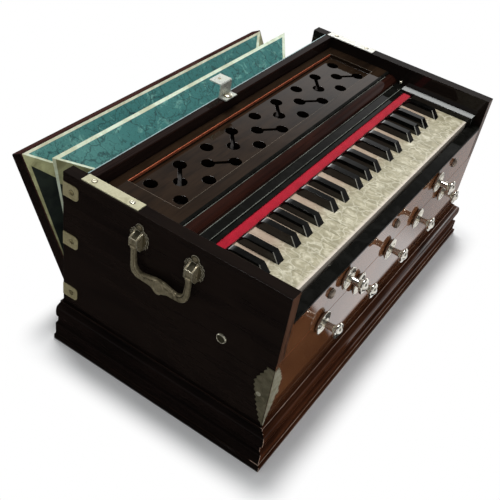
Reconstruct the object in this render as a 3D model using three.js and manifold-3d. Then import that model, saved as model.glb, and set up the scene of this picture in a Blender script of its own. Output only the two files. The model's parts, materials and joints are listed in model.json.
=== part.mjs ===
// A hand-pumped Indian harmonium with thirty-nine keys, seven stops and rear bellows, in millimetres.
// +X runs along the keyboard from bass to treble, +Y from the player to the bellows, +Z up from the table.
// The origin is the middle of the base's underside. The bellows stand open, as when they are played.
import * as THREE from "three";
import { mergeVertices } from "three/addons/utils/BufferGeometryUtils.js";
import Module from "manifold-3d";

const wasm = await Module();
wasm.setup();

// Driving sizes of the case
const keyPitch = 22;
const whiteKeyCount = 23;
const fitGap = 0.3;
const weldShare = 0.001;
const endBoardThickness = 16;
const cheekWidth = 15;
const caseTop = 252;
const caseFront = 141;
const caseBack = 155.5;
const baseHeight = 58.5;
const frontBoardThickness = 14;
const overrun = 5;

const keyboardHalf = (whiteKeyCount * keyPitch) / 2;
const innerHalf = keyboardHalf + cheekWidth;
const caseHalf = innerHalf + endBoardThickness;
const frontBoardInside = -caseFront + frontBoardThickness;

// Base: a moulded tray whose mouldings run round the front and the two ends
const plinthOutset = 15.5;
const baseBack = 157.4;
const trayFloor = 8;
const trayWall = 22;
const trayBackWall = 40;
const mouldingShares = [
  [0.96, 0],
  [1, 0.02],
  [1, 0.125],
  [0.8, 0.135],
  [0.78, 0.44],
  [0.54, 0.46],
  [0.5, 0.6],
  [0.62, 0.66],
  [0.74, 0.72],
  [0.76, 0.8],
  [0.66, 0.88],
  [0.42, 0.94],
  [0.26, 0.955],
  [0.24, 1],
];

// Keys: levers on a balance rail, with pallets behind it that cover the wind slots
const whiteTop = 217;
const keyThickness = 16;
const keyGap = 1;
const whiteFront = -122.7;
const notchFront = -86.3;
const coverEnd = -25;
const keyBack = 112;
const tailDrop = 3;
const blackFront = -85.3;
const blackHeight = 11;
const blackHalf = 6;
const blackTopHalf = 4.6;
const blackFrontSlope = 8.3;
const blackBackSlope = 1.6;
const blackCapBack = -32.5;
const blackSideGap = 0.7;
const balanceAt = 27;
const palletFront = 70;
const palletLength = 34;
const palletSideGap = 0.6;
const blackAfterWhite = [0, 1, 3, 4, 5];
const blackShiftShares = [-0.127, 0.127, 0, -0.173, 0, 0.173, 0];
const octave = blackShiftShares.length;

// Reed board: the floor that the keys and pallets lie on, with brass reed plates under its slots
const reedBoardTop = 194.5;
const reedBoardThickness = 14.5;
const reedBoardFront = -105;
const slotWidth = 6;
const slotLength = 24;
const reedPlateWidth = 9;
const reedPlateLength = 34;
const reedPlateThickness = 2;
const balanceRailHalf = 3;
const cleatHeight = 14;
const cleatWidth = 10;
const cleatEndMargin = 20;

// Key cheeks: blocks between the end boards and the outer keys, lower under the sound cover
const cheekRise = 7.5;
const cheekTop = whiteTop + cheekRise;
const cheekFront = -129;
const cheekStepBack = -12.8;

// Sound cover with its perforated recess and its moulded front
const coverClearance = 3.6;
const coverThickness = 15.4;
const coverFrontTop = 16;
const coverBack = 121.5;
const coverSlipFront = -12.3;
const coverSlipThickness = 3.1;
const coverFilletFront = -19;
const coverFilletThickness = 1.4;
const coverEdgeRound = 3;
const coverBevelShare = 0.3;
const coverHollowShare = 0.48;
const coveSteps = 4;
const beadWidth = 1.2;
const beadHeight = 0.9;
const recessDepth = 6;
const recessFront = 36;
const recessBack = 110;
const recessHalf = 238;
const patternCentre = 8;
const holePitch = 54.4;
const holeRows = [49.2, 70.8, 92.6];
const holeRadius = 8.7;
const holeColumns = 9;
const linkWidth = 5;
const holeSides = 12;

const coverUnderside = whiteTop + coverClearance;
const coverTop = coverUnderside + coverThickness;
const coverSlipTop = coverUnderside + coverSlipThickness;
const recessFloor = coverTop - recessDepth;

// Key felt, glued under the cover's front edge
const feltFront = -31;
const feltBack = 10;
const feltThickness = 3;

// Front board with its seam, stop bores, rosettes and buttons; the key slip lies on its top edge
const frontSeam = 155.5;
const seamWidth = 0.9;
const seamDepth = 1;
const slipTop = 210.5;
const slipThickness = 4.5;
const frontBoardTop = slipTop - slipThickness;
const slipFrontOverhang = 0.5;
const slipBackOverhang = 1.5;
const slipChamfer = 1;
const buttonPlaces = [-182, -11, 180];
const buttonRadius = 6;
const buttonThickness = 5;

// Stops: chromed knobs on rods that slide through the front board
const stopPitch = 87.5;
const stopMiddle = -14.5;
const lowerStopDrop = 3.5;
const upperStopDrop = 16.5;
const lowerStopHeight = frontSeam - lowerStopDrop;
const upperStopHeight = frontBoardTop - upperStopDrop;
const stopRodRadius = 4.2;
const stopBoreGap = 0.4;
const stopTravel = 15;
const stopCollarRadius = 6;
const stopCollarLength = 3;
const stopHeadRadius = 10;
const stopReach = 27.5;
const stopHeadShares = [
  [0.42, 0.44],
  [0.48, 0.58],
  [0.86, 0.65],
  [0.7, 0.73],
  [1, 0.82],
  [0.94, 0.93],
  [0.5, 1],
  [0, 1],
];
const stopSides = 12;
const rosetteRadius = 14;
const rosetteThickness = 5;
const rosetteShares = [
  [0.66, 0],
  [1, 0.62],
  [0.97, 1],
  [0.87, 1],
  [0.6, 0.45],
  [0, 0.45],
];
const roundSides = 16;

// Back board with its wind ports
const backBoardFront = 123.3;
const backBoardThickness = 11.2;
const windPortWidth = 50;
const windPortHeight = 24;
const windPortPitch = 150;
const windPortBottom = 100;
const windPortCount = 3;

// Fittings on the end boards
const strapLength = 79;
const strapWidth = 14;
const strapBack = 131;
const strapInset = 1.7;
const plateThickness = 1.5;
const strapScrewInset = 13;
const screwHeadRadius = 3;
const screwHeadHeight = 0.7;
const clipHeights = [230.5, 160.5, 80];
const clipWidth = 19;
const clipReach = 23;
const clipThickness = 1.2;
const cupWasherPlace = [-72, 150];
const cupWasherRadius = 5.5;
const cupWasherHeight = 2;
const bracketHeight = 90;
const bracketWidth = 21;
const bracketThickness = 1.4;
const bracketEdgeShares = [
  [0.06, 1],
  [0.5, 0.93],
  [0.42, 0.86],
  [0.62, 0.82],
  [0.54, 0.75],
  [0.78, 0.7],
  [0.7, 0.62],
  [0.92, 0.57],
  [0.84, 0.5],
  [1, 0.46],
  [0.86, 0.38],
  [0.8, 0.3],
  [0.64, 0.24],
  [0.52, 0.16],
  [0.4, 0.12],
  [0.22, 0.04],
  [0.06, 0],
];

// Bail handles: a cast bail on two slotted housings at each end
const bailMiddle = 9.5;
const bailHalfSpan = 36.5;
const bailPivotHeight = 214;
const bailPivotOut = 8;
const bailDrop = 33;
const bailBarRadius = 3.6;
const bailEyeRadius = 3.9;
const bailEyeWidth = 6.6;
const bailPinRadius = 2;
const bailPinGap = 0.35;
const housingCheek = 1.9;
const housingSideGap = 0.7;
const housingReach = 12.2;
const housingRise = 17;
const housingSlope = 5;
const housingDrop = 5.5;
const earWidth = 26;
const earHeight = 36;
const earThickness = 2.4;
const earRise = 7;
const earScrewRise = 14;
const earScallops = 9;
const earScallopDepth = 1.4;
const scallopSteps = 4;
const bailBossRadius = 9.5;
const bailBossHeight = 8;
const bailBossShares = [
  [0, 0],
  [0.8, 0],
  [1, 0.3],
  [1, 0.7],
  [0.8, 1],
  [0, 1],
];
const bailPathShares = [
  [1, 0.06],
  [1, 0.42],
  [0.98, 0.76],
  [0.88, 0.98],
  [0.6, 1.03],
  [0.3, 1.01],
  [0, 1.04],
];
const bailSteps = 28;
const barSides = 8;

// Bellows: a board hinged on the base's back edge and a folded cover between it and the back board
const hingeY = baseBack + fitGap;
const hingeZ = baseHeight;
const boardTilt = THREE.MathUtils.degToRad(28.8);
const ridgeTilt = THREE.MathUtils.degToRad(13.4);
const boardLength = 184;
const boardSideClearance = 8;
const boardHalf = innerHalf - boardSideClearance;
const boardThickness = 17;
const boardChamfer = 1.2;
const boardPanelMargin = 26;
const boardPanelDepth = 3;
const skinWall = 1.6;
const ribWidth = 50;
const ridgeReach = 180.5;
const ridgeInset = 4;
const ridgeHalf = boardHalf - ridgeInset;
const foldInset = 54;
const foldStart = 14;
const foldStartInset = 3;
const foldTopDrop = 2;
const foldEdgeInset = 1.5;

// Latch: a bent strip that turns on a thumb screw in the middle of the back board
const latchMiddle = -12;
const latchWidth = 25;
const latchThickness = 1.6;
const latchPivotY = 126.5;
const latchFront = 120;
const latchRiserY = 132.5;
const latchRise = 20;
const latchBack = 150;
const latchHoleY = 142.5;
const latchHoleRadius = 2.4;
const thumbRadius = 6.2;
const thumbHeight = 3.6;
const thumbShares = [
  [1, 0],
  [1, 0.6],
  [0.6, 1],
  [0, 1],
];
const latchScrewRadius = 2;
const latchScrewDepth = 8;
const latchScrewGap = 0.3;

// Finishes
const finish = (color, roughness, metalness) => ({ color, roughness, metalness });
const darkGloss = finish(0x1c1110, 0.2, 0);
const redGloss = finish(0x53271a, 0.18, 0);
const coverGloss = finish(0x3d2c25, 0.22, 0);
const blackGloss = finish(0x0c0c0c, 0.2, 0);
const pearl = finish(0xc9c8ae, 0.3, 0);
const feltRed = finish(0xc01733, 0.95, 0);
const plainWood = finish(0xb08a5a, 0.6, 0);
const nickel = finish(0xc9c7bd, 0.25, 1);
const tealPaper = finish(0x3f8f91, 0.7, 0);

// Shapes

// A closed geometry as a solid that can be joined and cut.
function solid(geometry) {
  const bare = geometry.index ? geometry.toNonIndexed() : geometry.clone();
  bare.deleteAttribute("normal");
  bare.deleteAttribute("uv");
  const merged = mergeVertices(bare, fitGap * weldShare);
  const corners = merged.index.array;
  const kept = [];
  for (let i = 0; i < corners.length; i += 3) {
    const [a, b, c] = [corners[i], corners[i + 1], corners[i + 2]];
    if (a !== b && b !== c && a !== c) kept.push(a, b, c);
  }
  return new wasm.Manifold(
    new wasm.Mesh({
      numProp: 3,
      vertProperties: new Float32Array(merged.attributes.position.array),
      triVerts: new Uint32Array(kept),
    }),
  );
}

// A solid as a geometry, with flat faces.
function geometryOf(shape) {
  const mesh = shape.getMesh();
  const geometry = new THREE.BufferGeometry();
  geometry.setAttribute("position", new THREE.BufferAttribute(new Float32Array(mesh.vertProperties), 3));
  geometry.setIndex(new THREE.BufferAttribute(new Uint32Array(mesh.triVerts), 1));
  const flat = geometry.toNonIndexed();
  flat.computeVertexNormals();
  return flat;
}

const joined = (shapes) => shapes.reduce((whole, shape) => whole.add(shape));
const cut = (whole, tools) => whole.subtract(joined(tools));

// A block between two values on each axis, given in either order.
function block([x0, x1], [y0, y1], [z0, z1]) {
  const geometry = new THREE.BoxGeometry(Math.abs(x1 - x0), Math.abs(y1 - y0), Math.abs(z1 - z0));
  geometry.translate((x0 + x1) / 2, (y0 + y1) / 2, (z0 + z1) / 2);
  return solid(geometry);
}

function extruded(points, depth) {
  const shape = new THREE.Shape(points.map(([u, v]) => new THREE.Vector2(u, v)));
  return new THREE.ExtrudeGeometry(shape, { depth, bevelEnabled: false });
}

// An outline of [y, z] points drawn out along X.
function alongX(points, x0, x1) {
  const geometry = extruded(points, Math.abs(x1 - x0));
  const axes = [new THREE.Vector3(0, 1, 0), new THREE.Vector3(0, 0, 1), new THREE.Vector3(1, 0, 0)];
  geometry.applyMatrix4(new THREE.Matrix4().makeBasis(...axes));
  geometry.translate(Math.min(x0, x1), 0, 0);
  return solid(geometry);
}

// An outline of [x, z] points drawn out along Y.
function alongY(points, y0, y1) {
  const geometry = extruded(points, Math.abs(y1 - y0));
  const axes = [new THREE.Vector3(1, 0, 0), new THREE.Vector3(0, 0, 1), new THREE.Vector3(0, -1, 0)];
  geometry.applyMatrix4(new THREE.Matrix4().makeBasis(...axes));
  geometry.translate(0, Math.max(y0, y1), 0);
  return solid(geometry);
}

// An outline of [x, y] points drawn out along Z.
function alongZ(points, z0, z1) {
  const geometry = extruded(points, Math.abs(z1 - z0));
  geometry.translate(0, 0, Math.min(z0, z1));
  return solid(geometry);
}

// A turned shape: [radius, distance] points along a direction from a place, with the distance rising.
function turned(profile, direction, place, sides = roundSides) {
  const points = profile.map(([radius, distance]) => new THREE.Vector2(radius, distance));
  const geometry = new THREE.LatheGeometry(points, sides);
  const turn = new THREE.Quaternion().setFromUnitVectors(
    new THREE.Vector3(0, 1, 0),
    new THREE.Vector3(...direction),
  );
  geometry.applyQuaternion(turn);
  geometry.translate(...place);
  return solid(geometry);
}

function rod(radius, length, direction, place, sides = roundSides) {
  return turned([[0, 0], [radius, 0], [radius, length], [0, length]], direction, place, sides);
}

// Rings of equally many points joined one to the next and closed at both ends by the given faces.
// The side at a point of a ring creases along its other diagonal where the point is in that ring's list.
function lofted(rings, capFaces, otherCreases = []) {
  const count = rings[0].length;
  const positions = rings.flat(2);
  const faces = [];
  for (let ring = 0; ring + 1 < rings.length; ring += 1) {
    for (let point = 0; point < count; point += 1) {
      const next = (point + 1) % count;
      const [a, b] = [ring * count + point, ring * count + next];
      const [c, d] = [a + count, b + count];
      const other = (otherCreases[ring] ?? []).includes(point);
      faces.push(...(other ? [a, b, c, b, d, c] : [a, b, d, a, d, c]));
    }
  }
  const last = (rings.length - 1) * count;
  for (const [a, b, c] of capFaces) {
    faces.push(a, c, b);
    faces.push(last + a, last + b, last + c);
  }
  const geometry = new THREE.BufferGeometry();
  geometry.setAttribute("position", new THREE.Float32BufferAttribute(positions, 3));
  geometry.setIndex(faces);
  return solid(geometry);
}

const rectangleCap = [[0, 1, 2], [0, 2, 3]];

function part(name, shape, { color, roughness, metalness }) {
  const material = new THREE.MeshStandardMaterial({ color, roughness, metalness });
  const mesh = new THREE.Mesh(geometryOf(shape), material);
  mesh.name = name;
  return mesh;
}

// Keyboard layout

const whiteLeft = (index) => -keyboardHalf + index * keyPitch;
const hasBlackAfter = (index) =>
  index >= 0 && index < whiteKeyCount - 1 && blackAfterWhite.includes(index % octave);
const blackMiddle = (index) => whiteLeft(index + 1) + blackShiftShares[index % octave] * keyPitch;

function tailSides(index) {
  const left = hasBlackAfter(index - 1)
    ? blackMiddle(index - 1) + blackHalf + blackSideGap
    : whiteLeft(index) + keyGap / 2;
  const right = hasBlackAfter(index)
    ? blackMiddle(index) - blackHalf - blackSideGap
    : whiteLeft(index + 1) - keyGap / 2;
  return [left, right];
}

// The levers in order from the bass: where each lies and whether it is black.
function keyRow() {
  const levers = [];
  for (let index = 0; index < whiteKeyCount; index += 1) {
    levers.push({ black: false, index, sides: tailSides(index) });
    if (hasBlackAfter(index)) {
      const middle = blackMiddle(index);
      levers.push({ black: true, index, sides: [middle - blackHalf, middle + blackHalf] });
    }
  }
  return levers;
}

const keyUnderside = whiteTop - keyThickness;

// The felted pallet that closes the wind slot under a lever.
function pallet([left, right]) {
  return block(
    [left + palletSideGap, right - palletSideGap],
    [palletFront, palletFront + palletLength],
    [reedBoardTop + fitGap, keyUnderside + fitGap],
  );
}

function whiteKey({ index, sides }) {
  const [left, right] = [whiteLeft(index) + keyGap / 2, whiteLeft(index + 1) - keyGap / 2];
  const outline = [
    [left, whiteFront],
    [right, whiteFront],
    [right, notchFront],
    [sides[1], notchFront],
    [sides[1], coverEnd],
    [sides[0], coverEnd],
    [sides[0], notchFront],
    [left, notchFront],
  ].filter(([x, y], at, all) => {
    const [px, py] = all[(at + all.length - 1) % all.length];
    return x !== px || y !== py;
  });
  const head = alongZ(outline, keyUnderside, whiteTop);
  const lever = block(sides, [coverEnd - fitGap, keyBack], [keyUnderside, whiteTop - tailDrop]);
  return joined([head, lever, pallet(sides)]);
}

function blackKey({ sides }) {
  const middle = (sides[0] + sides[1]) / 2;
  const ring = (half, front, back, z) => [
    [middle - half, front, z],
    [middle + half, front, z],
    [middle + half, back, z],
    [middle - half, back, z],
  ];
  const cap = lofted(
    [
      ring(blackHalf, blackFront, blackCapBack, keyUnderside),
      ring(blackHalf, blackFront, blackCapBack, whiteTop),
      ring(blackTopHalf, blackFront + blackFrontSlope, blackCapBack - blackBackSlope, whiteTop + blackHeight),
    ],
    rectangleCap,
  );
  const lever = block(sides, [blackCapBack - fitGap, keyBack], [keyUnderside, whiteTop - tailDrop]);
  return joined([cap, lever, pallet(sides)]);
}

// Case pieces

function base() {
  const rings = mouldingShares.map(([out, up]) => {
    const outset = out * plinthOutset;
    const [side, front, z] = [caseHalf + outset, -caseFront - outset, up * baseHeight];
    return [
      [-side, front, z],
      [side, front, z],
      [side, baseBack, z],
      [-side, baseBack, z],
    ];
  });
  const room = block(
    [-caseHalf + trayWall, caseHalf - trayWall],
    [-caseFront + trayWall, baseBack - trayBackWall],
    [trayFloor, baseHeight + overrun],
  );
  return cut(lofted(rings, rectangleCap), [room]);
}

// A saw-edged corner plate outline: shares of its width and height, from a corner and away from it.
function bracketOutline(corner, away, bottom) {
  const edge = bracketEdgeShares.map(([out, up]) => [
    corner + away * out * bracketWidth,
    bottom + up * bracketHeight,
  ]);
  return [[corner, bottom], [corner, bottom + bracketHeight], ...edge];
}

// A scalloped plate and its housing, slotted from below, with the pin that holds one end of a bail.
function bailEar(side, y) {
  const [face, middle] = [side * caseHalf, bailPivotHeight + earRise];
  const outline = [];
  const steps = earScallops * scallopSteps;
  for (let step = 0; step < steps; step += 1) {
    const angle = (step / steps) * Math.PI * 2;
    const dent = ((1 - Math.cos(angle * earScallops)) / 2) * earScallopDepth;
    const [across, up] = [earWidth / 2 - dent, earHeight / 2 - dent];
    outline.push([y + across * Math.cos(angle), middle + up * Math.sin(angle)]);
  }
  const plate = alongX(outline, face - side * fitGap, face + side * earThickness);
  const slotHalf = bailEyeWidth / 2 + housingSideGap;
  const housingHalf = slotHalf + housingCheek;
  const [low, high] = [bailPivotHeight - housingDrop, bailPivotHeight + housingRise];
  const end = face + side * housingReach;
  const section = [[face, low], [face, high], [end, high - housingSlope], [end, low]];
  const housing = alongY(section, y - housingHalf, y + housingHalf);
  const slot = block(
    [face + side * earThickness, end + side * overrun],
    [y - slotHalf, y + slotHalf],
    [low - overrun, bailPivotHeight + bailEyeRadius + housingSideGap],
  );
  const pinPlace = [face + side * bailPivotOut, y - housingHalf + fitGap, bailPivotHeight];
  const pin = rod(bailPinRadius, 2 * (housingHalf - fitGap), [0, 1, 0], pinPlace, barSides);
  const screwPlace = [face, y, middle + earScrewRise];
  const screw = rod(screwHeadRadius, screwHeadHeight + earThickness, [side, 0, 0], screwPlace, barSides);
  return joined([plate, cut(housing, [slot]), pin, screw]);
}

// A plate on an end board's back edge, with a round front and a screw.
function edgeClip(side, z) {
  const face = side * caseHalf;
  const radius = clipWidth / 2;
  const outline = [
    [caseBack - fitGap, z - radius],
    [caseBack - fitGap, z + radius],
  ];
  const centre = caseBack - clipReach + radius;
  for (let step = 0; step <= barSides; step += 1) {
    const angle = Math.PI / 2 + (step / barSides) * Math.PI;
    outline.push([centre + radius * Math.cos(angle), z + radius * Math.sin(angle)]);
  }
  return joined([
    alongX(outline, face - side * fitGap, face + side * clipThickness),
    rod(screwHeadRadius, screwHeadHeight + clipThickness, [side, 0, 0], [face, centre, z], barSides),
  ]);
}

function endBoard(side) {
  const [outer, inner] = [side * caseHalf, side * innerHalf];
  const mitreGap = fitGap * Math.SQRT2;
  const foot = baseHeight + fitGap;
  const upperFoot = frontSeam + fitGap;
  const plan = [
    [outer, -caseFront + mitreGap],
    [outer, caseBack],
    [inner, caseBack],
    [inner, -caseFront + endBoardThickness + mitreGap],
  ];
  const cheekInner = side * (keyboardHalf + keyGap / 2);
  const cheekFoot = reedBoardTop + fitGap;
  const behindSlip = frontBoardInside + slipBackOverhang + fitGap;
  const cleatTop = reedBoardTop - reedBoardThickness - fitGap;
  const strapOuter = outer - side * strapInset;
  const strapInner = strapOuter - side * strapWidth;
  const strapMiddle = (strapOuter + strapInner) / 2;
  const strapFront = strapBack - strapLength;
  const strapScrews = [strapBack - strapScrewInset, strapFront + strapScrewInset];
  const shapes = [
    alongZ(plan, foot, upperFoot),
    block([outer, inner], [-caseFront, caseBack], [upperFoot, caseTop]),
    block(
      [inner + side * fitGap, inner - side * cleatWidth],
      [reedBoardFront + cleatEndMargin, backBoardFront - cleatEndMargin],
      [cleatTop - cleatHeight, cleatTop],
    ),
    block([inner + side * fitGap, cheekInner], [cheekFront, cheekStepBack], [slipTop + fitGap, cheekTop]),
    block([inner + side * fitGap, cheekInner], [behindSlip, cheekStepBack], [cheekFoot, cheekTop - fitGap]),
    block(
      [inner + side * fitGap, cheekInner],
      [cheekStepBack, backBoardFront - fitGap],
      [cheekFoot, coverUnderside - fitGap],
    ),
    block([strapOuter, strapInner], [strapFront, strapBack], [caseTop - fitGap, caseTop + plateThickness]),
    ...strapScrews.map((y) =>
      rod(screwHeadRadius, screwHeadHeight + plateThickness, [0, 0, 1], [strapMiddle, y, caseTop], barSides),
    ),
    ...clipHeights.map((z) => edgeClip(side, z)),
    ...[-1, 1].map((hand) => bailEar(side, bailMiddle + hand * bailHalfSpan)),
    rod(
      cupWasherRadius,
      cupWasherHeight + fitGap,
      [side, 0, 0],
      [outer - side * fitGap, ...cupWasherPlace],
    ),
  ];
  if (side < 0) {
    const outline = bracketOutline(-caseFront + mitreGap, 1, foot + fitGap);
    shapes.push(alongX(outline, outer + fitGap, outer - bracketThickness));
  }
  return joined(shapes);
}

// Where the stops stand: five in a lower row and two above its first and last gaps.
function stopPlaces() {
  const places = [];
  for (let step = -2; step <= 2; step += 1) {
    places.push([stopMiddle + step * stopPitch, lowerStopHeight]);
    if (Math.abs(step) === 2) {
      const between = stopMiddle + (step - Math.sign(step) / 2) * stopPitch;
      places.push([between, upperStopHeight]);
    }
  }
  return places.sort((a, b) => a[0] - b[0]);
}

function rosette([x, z]) {
  const dish = rosetteShares.map(([out, up]) => [out * rosetteRadius, up * rosetteThickness]);
  return turned([[0, -fitGap], [dish[0][0], -fitGap], ...dish], [0, -1, 0], [x, -caseFront, z]);
}

function frontBoard() {
  const foot = baseHeight + fitGap;
  const width = frontBoardThickness;
  const plan = [
    [-caseHalf, -caseFront],
    [caseHalf, -caseFront],
    [caseHalf - width, frontBoardInside],
    [-caseHalf + width, frontBoardInside],
  ];
  const upperHalf = innerHalf - fitGap;
  const seamHalf = seamWidth / 2;
  const body = joined([
    alongZ(plan, foot, frontSeam),
    block([-upperHalf, upperHalf], [-caseFront, frontBoardInside], [frontSeam - fitGap, frontBoardTop]),
    ...stopPlaces().map(rosette),
    ...buttonPlaces.map((x) =>
      rod(buttonRadius, buttonThickness, [0, -1, 0], [x, -caseFront + fitGap, upperStopHeight], barSides),
    ),
    alongY(
      bracketOutline(-caseHalf, 1, foot + fitGap),
      -caseFront + fitGap,
      -caseFront - bracketThickness,
    ),
  ]);
  const seam = alongX(
    [
      [-caseFront - fitGap, frontSeam - seamHalf],
      [-caseFront + seamDepth, frontSeam - seamHalf],
      [-caseFront + seamDepth, frontSeam + seamHalf],
      [-caseFront - fitGap, frontSeam + seamHalf],
    ],
    -upperHalf - overrun,
    upperHalf + overrun,
  );
  const boreRadius = stopRodRadius + stopBoreGap;
  const bores = stopPlaces().map(([x, z]) =>
    rod(boreRadius, frontBoardThickness + 2 * overrun, [0, -1, 0], [x, frontBoardInside + overrun, z]),
  );
  const rosettes = joined(stopPlaces().map(rosette));
  return cut(cut(body, [seam.subtract(rosettes)]), bores);
}

// A stop: the knob, its stem through the board and the collar that ends its travel inside.
function stop([x, z]) {
  const collarFront = -frontBoardThickness - stopTravel - fitGap;
  const rodEnd = collarFront - stopCollarLength;
  return turned(
    [
      [0, rodEnd],
      [stopCollarRadius, rodEnd],
      [stopCollarRadius, collarFront],
      [stopRodRadius, collarFront],
      ...stopHeadShares.map(([out, along]) => [out * stopHeadRadius, along * stopReach]),
    ],
    [0, -1, 0],
    [x, -caseFront, z],
    stopSides,
  );
}

function keySlip() {
  const half = innerHalf - fitGap;
  const foot = frontBoardTop + fitGap;
  const front = -caseFront - slipFrontOverhang;
  const back = frontBoardInside + slipBackOverhang;
  const outline = [
    [front, foot],
    [back, foot],
    [back, slipTop - slipChamfer],
    [back - slipChamfer, slipTop],
    [front + slipChamfer, slipTop],
    [front, slipTop - slipChamfer],
  ];
  return alongX(outline, -half, half);
}

function backBoard() {
  const half = innerHalf - fitGap;
  const rear = backBoardFront + backBoardThickness;
  const board = block([-half, half], [backBoardFront, rear], [baseHeight + fitGap, caseTop]);
  const ports = [];
  for (let port = 0; port < windPortCount; port += 1) {
    const x = (port - (windPortCount - 1) / 2) * windPortPitch;
    ports.push(
      block(
        [x - windPortWidth / 2, x + windPortWidth / 2],
        [backBoardFront - overrun, rear + overrun],
        [windPortBottom, windPortBottom + windPortHeight],
      ),
    );
  }
  const screwBore = rod(
    latchScrewRadius + latchScrewGap,
    latchScrewDepth + overrun,
    [0, 0, 1],
    [latchMiddle, latchPivotY, caseTop - latchScrewDepth - latchScrewGap],
    barSides,
  );
  return cut(board, [...ports, screwBore]);
}

function reedBoard() {
  const half = innerHalf - fitGap;
  const underside = reedBoardTop - reedBoardThickness;
  const railHalf = keyboardHalf;
  const shapes = [
    block([-half, half], [reedBoardFront, backBoardFront - fitGap], [underside, reedBoardTop]),
    block(
      [-railHalf, railHalf],
      [balanceAt - balanceRailHalf, balanceAt + balanceRailHalf],
      [reedBoardTop - fitGap, keyUnderside - fitGap],
    ),
  ];
  const slots = [];
  const slotMiddle = palletFront + palletLength / 2;
  for (const { sides } of keyRow()) {
    const x = (sides[0] + sides[1]) / 2;
    slots.push(
      block(
        [x - slotWidth / 2, x + slotWidth / 2],
        [slotMiddle - slotLength / 2, slotMiddle + slotLength / 2],
        [underside, reedBoardTop + overrun],
      ),
    );
    shapes.push(
      block(
        [x - reedPlateWidth / 2, x + reedPlateWidth / 2],
        [slotMiddle - reedPlateLength / 2, slotMiddle + reedPlateLength / 2],
        [underside - reedPlateThickness, underside + fitGap],
      ),
    );
  }
  return cut(joined(shapes), slots);
}

// The cover's section: flat top, round front edge, hollow, bead, slip and underside.
function coverOutline() {
  const outline = [
    [coverBack, coverUnderside],
    [coverBack, coverTop],
    [coverFrontTop + coverEdgeRound, coverTop],
    [coverFrontTop + coverEdgeRound * coverBevelShare, coverTop - coverEdgeRound * coverBevelShare],
    [coverFrontTop, coverTop - coverEdgeRound],
  ];
  const slipBack = coverSlipFront + (coverFrontTop - coverSlipFront) * coverHollowShare;
  const hollowEnd = [slipBack, coverSlipTop + beadHeight];
  const [spanY, spanZ] = [coverFrontTop - hollowEnd[0], coverTop - coverEdgeRound - hollowEnd[1]];
  for (let step = 1; step <= coveSteps; step += 1) {
    const angle = (step / coveSteps) * (Math.PI / 2);
    outline.push([hollowEnd[0] + spanY * (1 - Math.sin(angle)), hollowEnd[1] + spanZ * Math.cos(angle)]);
  }
  outline.push([hollowEnd[0] - beadWidth, hollowEnd[1]]);
  outline.push([hollowEnd[0] - beadWidth, coverSlipTop]);
  outline.push([coverSlipFront, coverSlipTop]);
  outline.push([coverSlipFront, coverUnderside]);
  return outline;
}

// The sound holes: three staggered rows, some joined in pairs by a narrow link.
function soundHoles() {
  const places = holeRows.map((y, row) => {
    const count = row === 1 ? holeColumns - 1 : holeColumns;
    return Array.from({ length: count }, (_, at) => [
      patternCentre + (at - (count - 1) / 2) * holePitch,
      y,
    ]);
  });
  const [front, middle, back] = places;
  const depth = recessFloor - coverUnderside + 2 * overrun;
  const foot = coverUnderside - overrun;
  const tools = places.flat().map(([x, y]) => rod(holeRadius, depth, [0, 0, 1], [x, y, foot], holeSides));
  const link = ([ax, ay], [bx, by]) => {
    const along = new THREE.Vector2(bx - ax, by - ay).normalize().multiplyScalar(linkWidth / 2);
    const corners = [
      [ax - along.y, ay + along.x],
      [ax + along.y, ay - along.x],
      [bx + along.y, by - along.x],
      [bx - along.y, by + along.x],
    ];
    return alongZ(corners, foot, foot + depth);
  };
  for (let at = 0; at < middle.length; at += 2) {
    tools.push(link(back[at + 1], middle[at]));
    tools.push(link(middle[at + 1], front[at + 2]));
  }
  return tools;
}

function soundCover() {
  const half = innerHalf - fitGap;
  const recess = block(
    [patternCentre - recessHalf, patternCentre + recessHalf],
    [recessFront, recessBack],
    [recessFloor, coverTop + overrun],
  );
  const filletHalf = keyboardHalf - fitGap;
  const fillet = block(
    [-filletHalf, filletHalf],
    [coverFilletFront, coverSlipFront + coverFilletThickness],
    [coverUnderside, coverUnderside + coverFilletThickness],
  );
  return cut(joined([alongX(coverOutline(), -half, half), fillet]), [recess, ...soundHoles()]);
}

function keyFelt() {
  const half = keyboardHalf + keyGap / 2 - fitGap;
  const top = coverUnderside - fitGap;
  return block([-half, half], [feltFront, feltBack], [top - feltThickness, top]);
}

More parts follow.
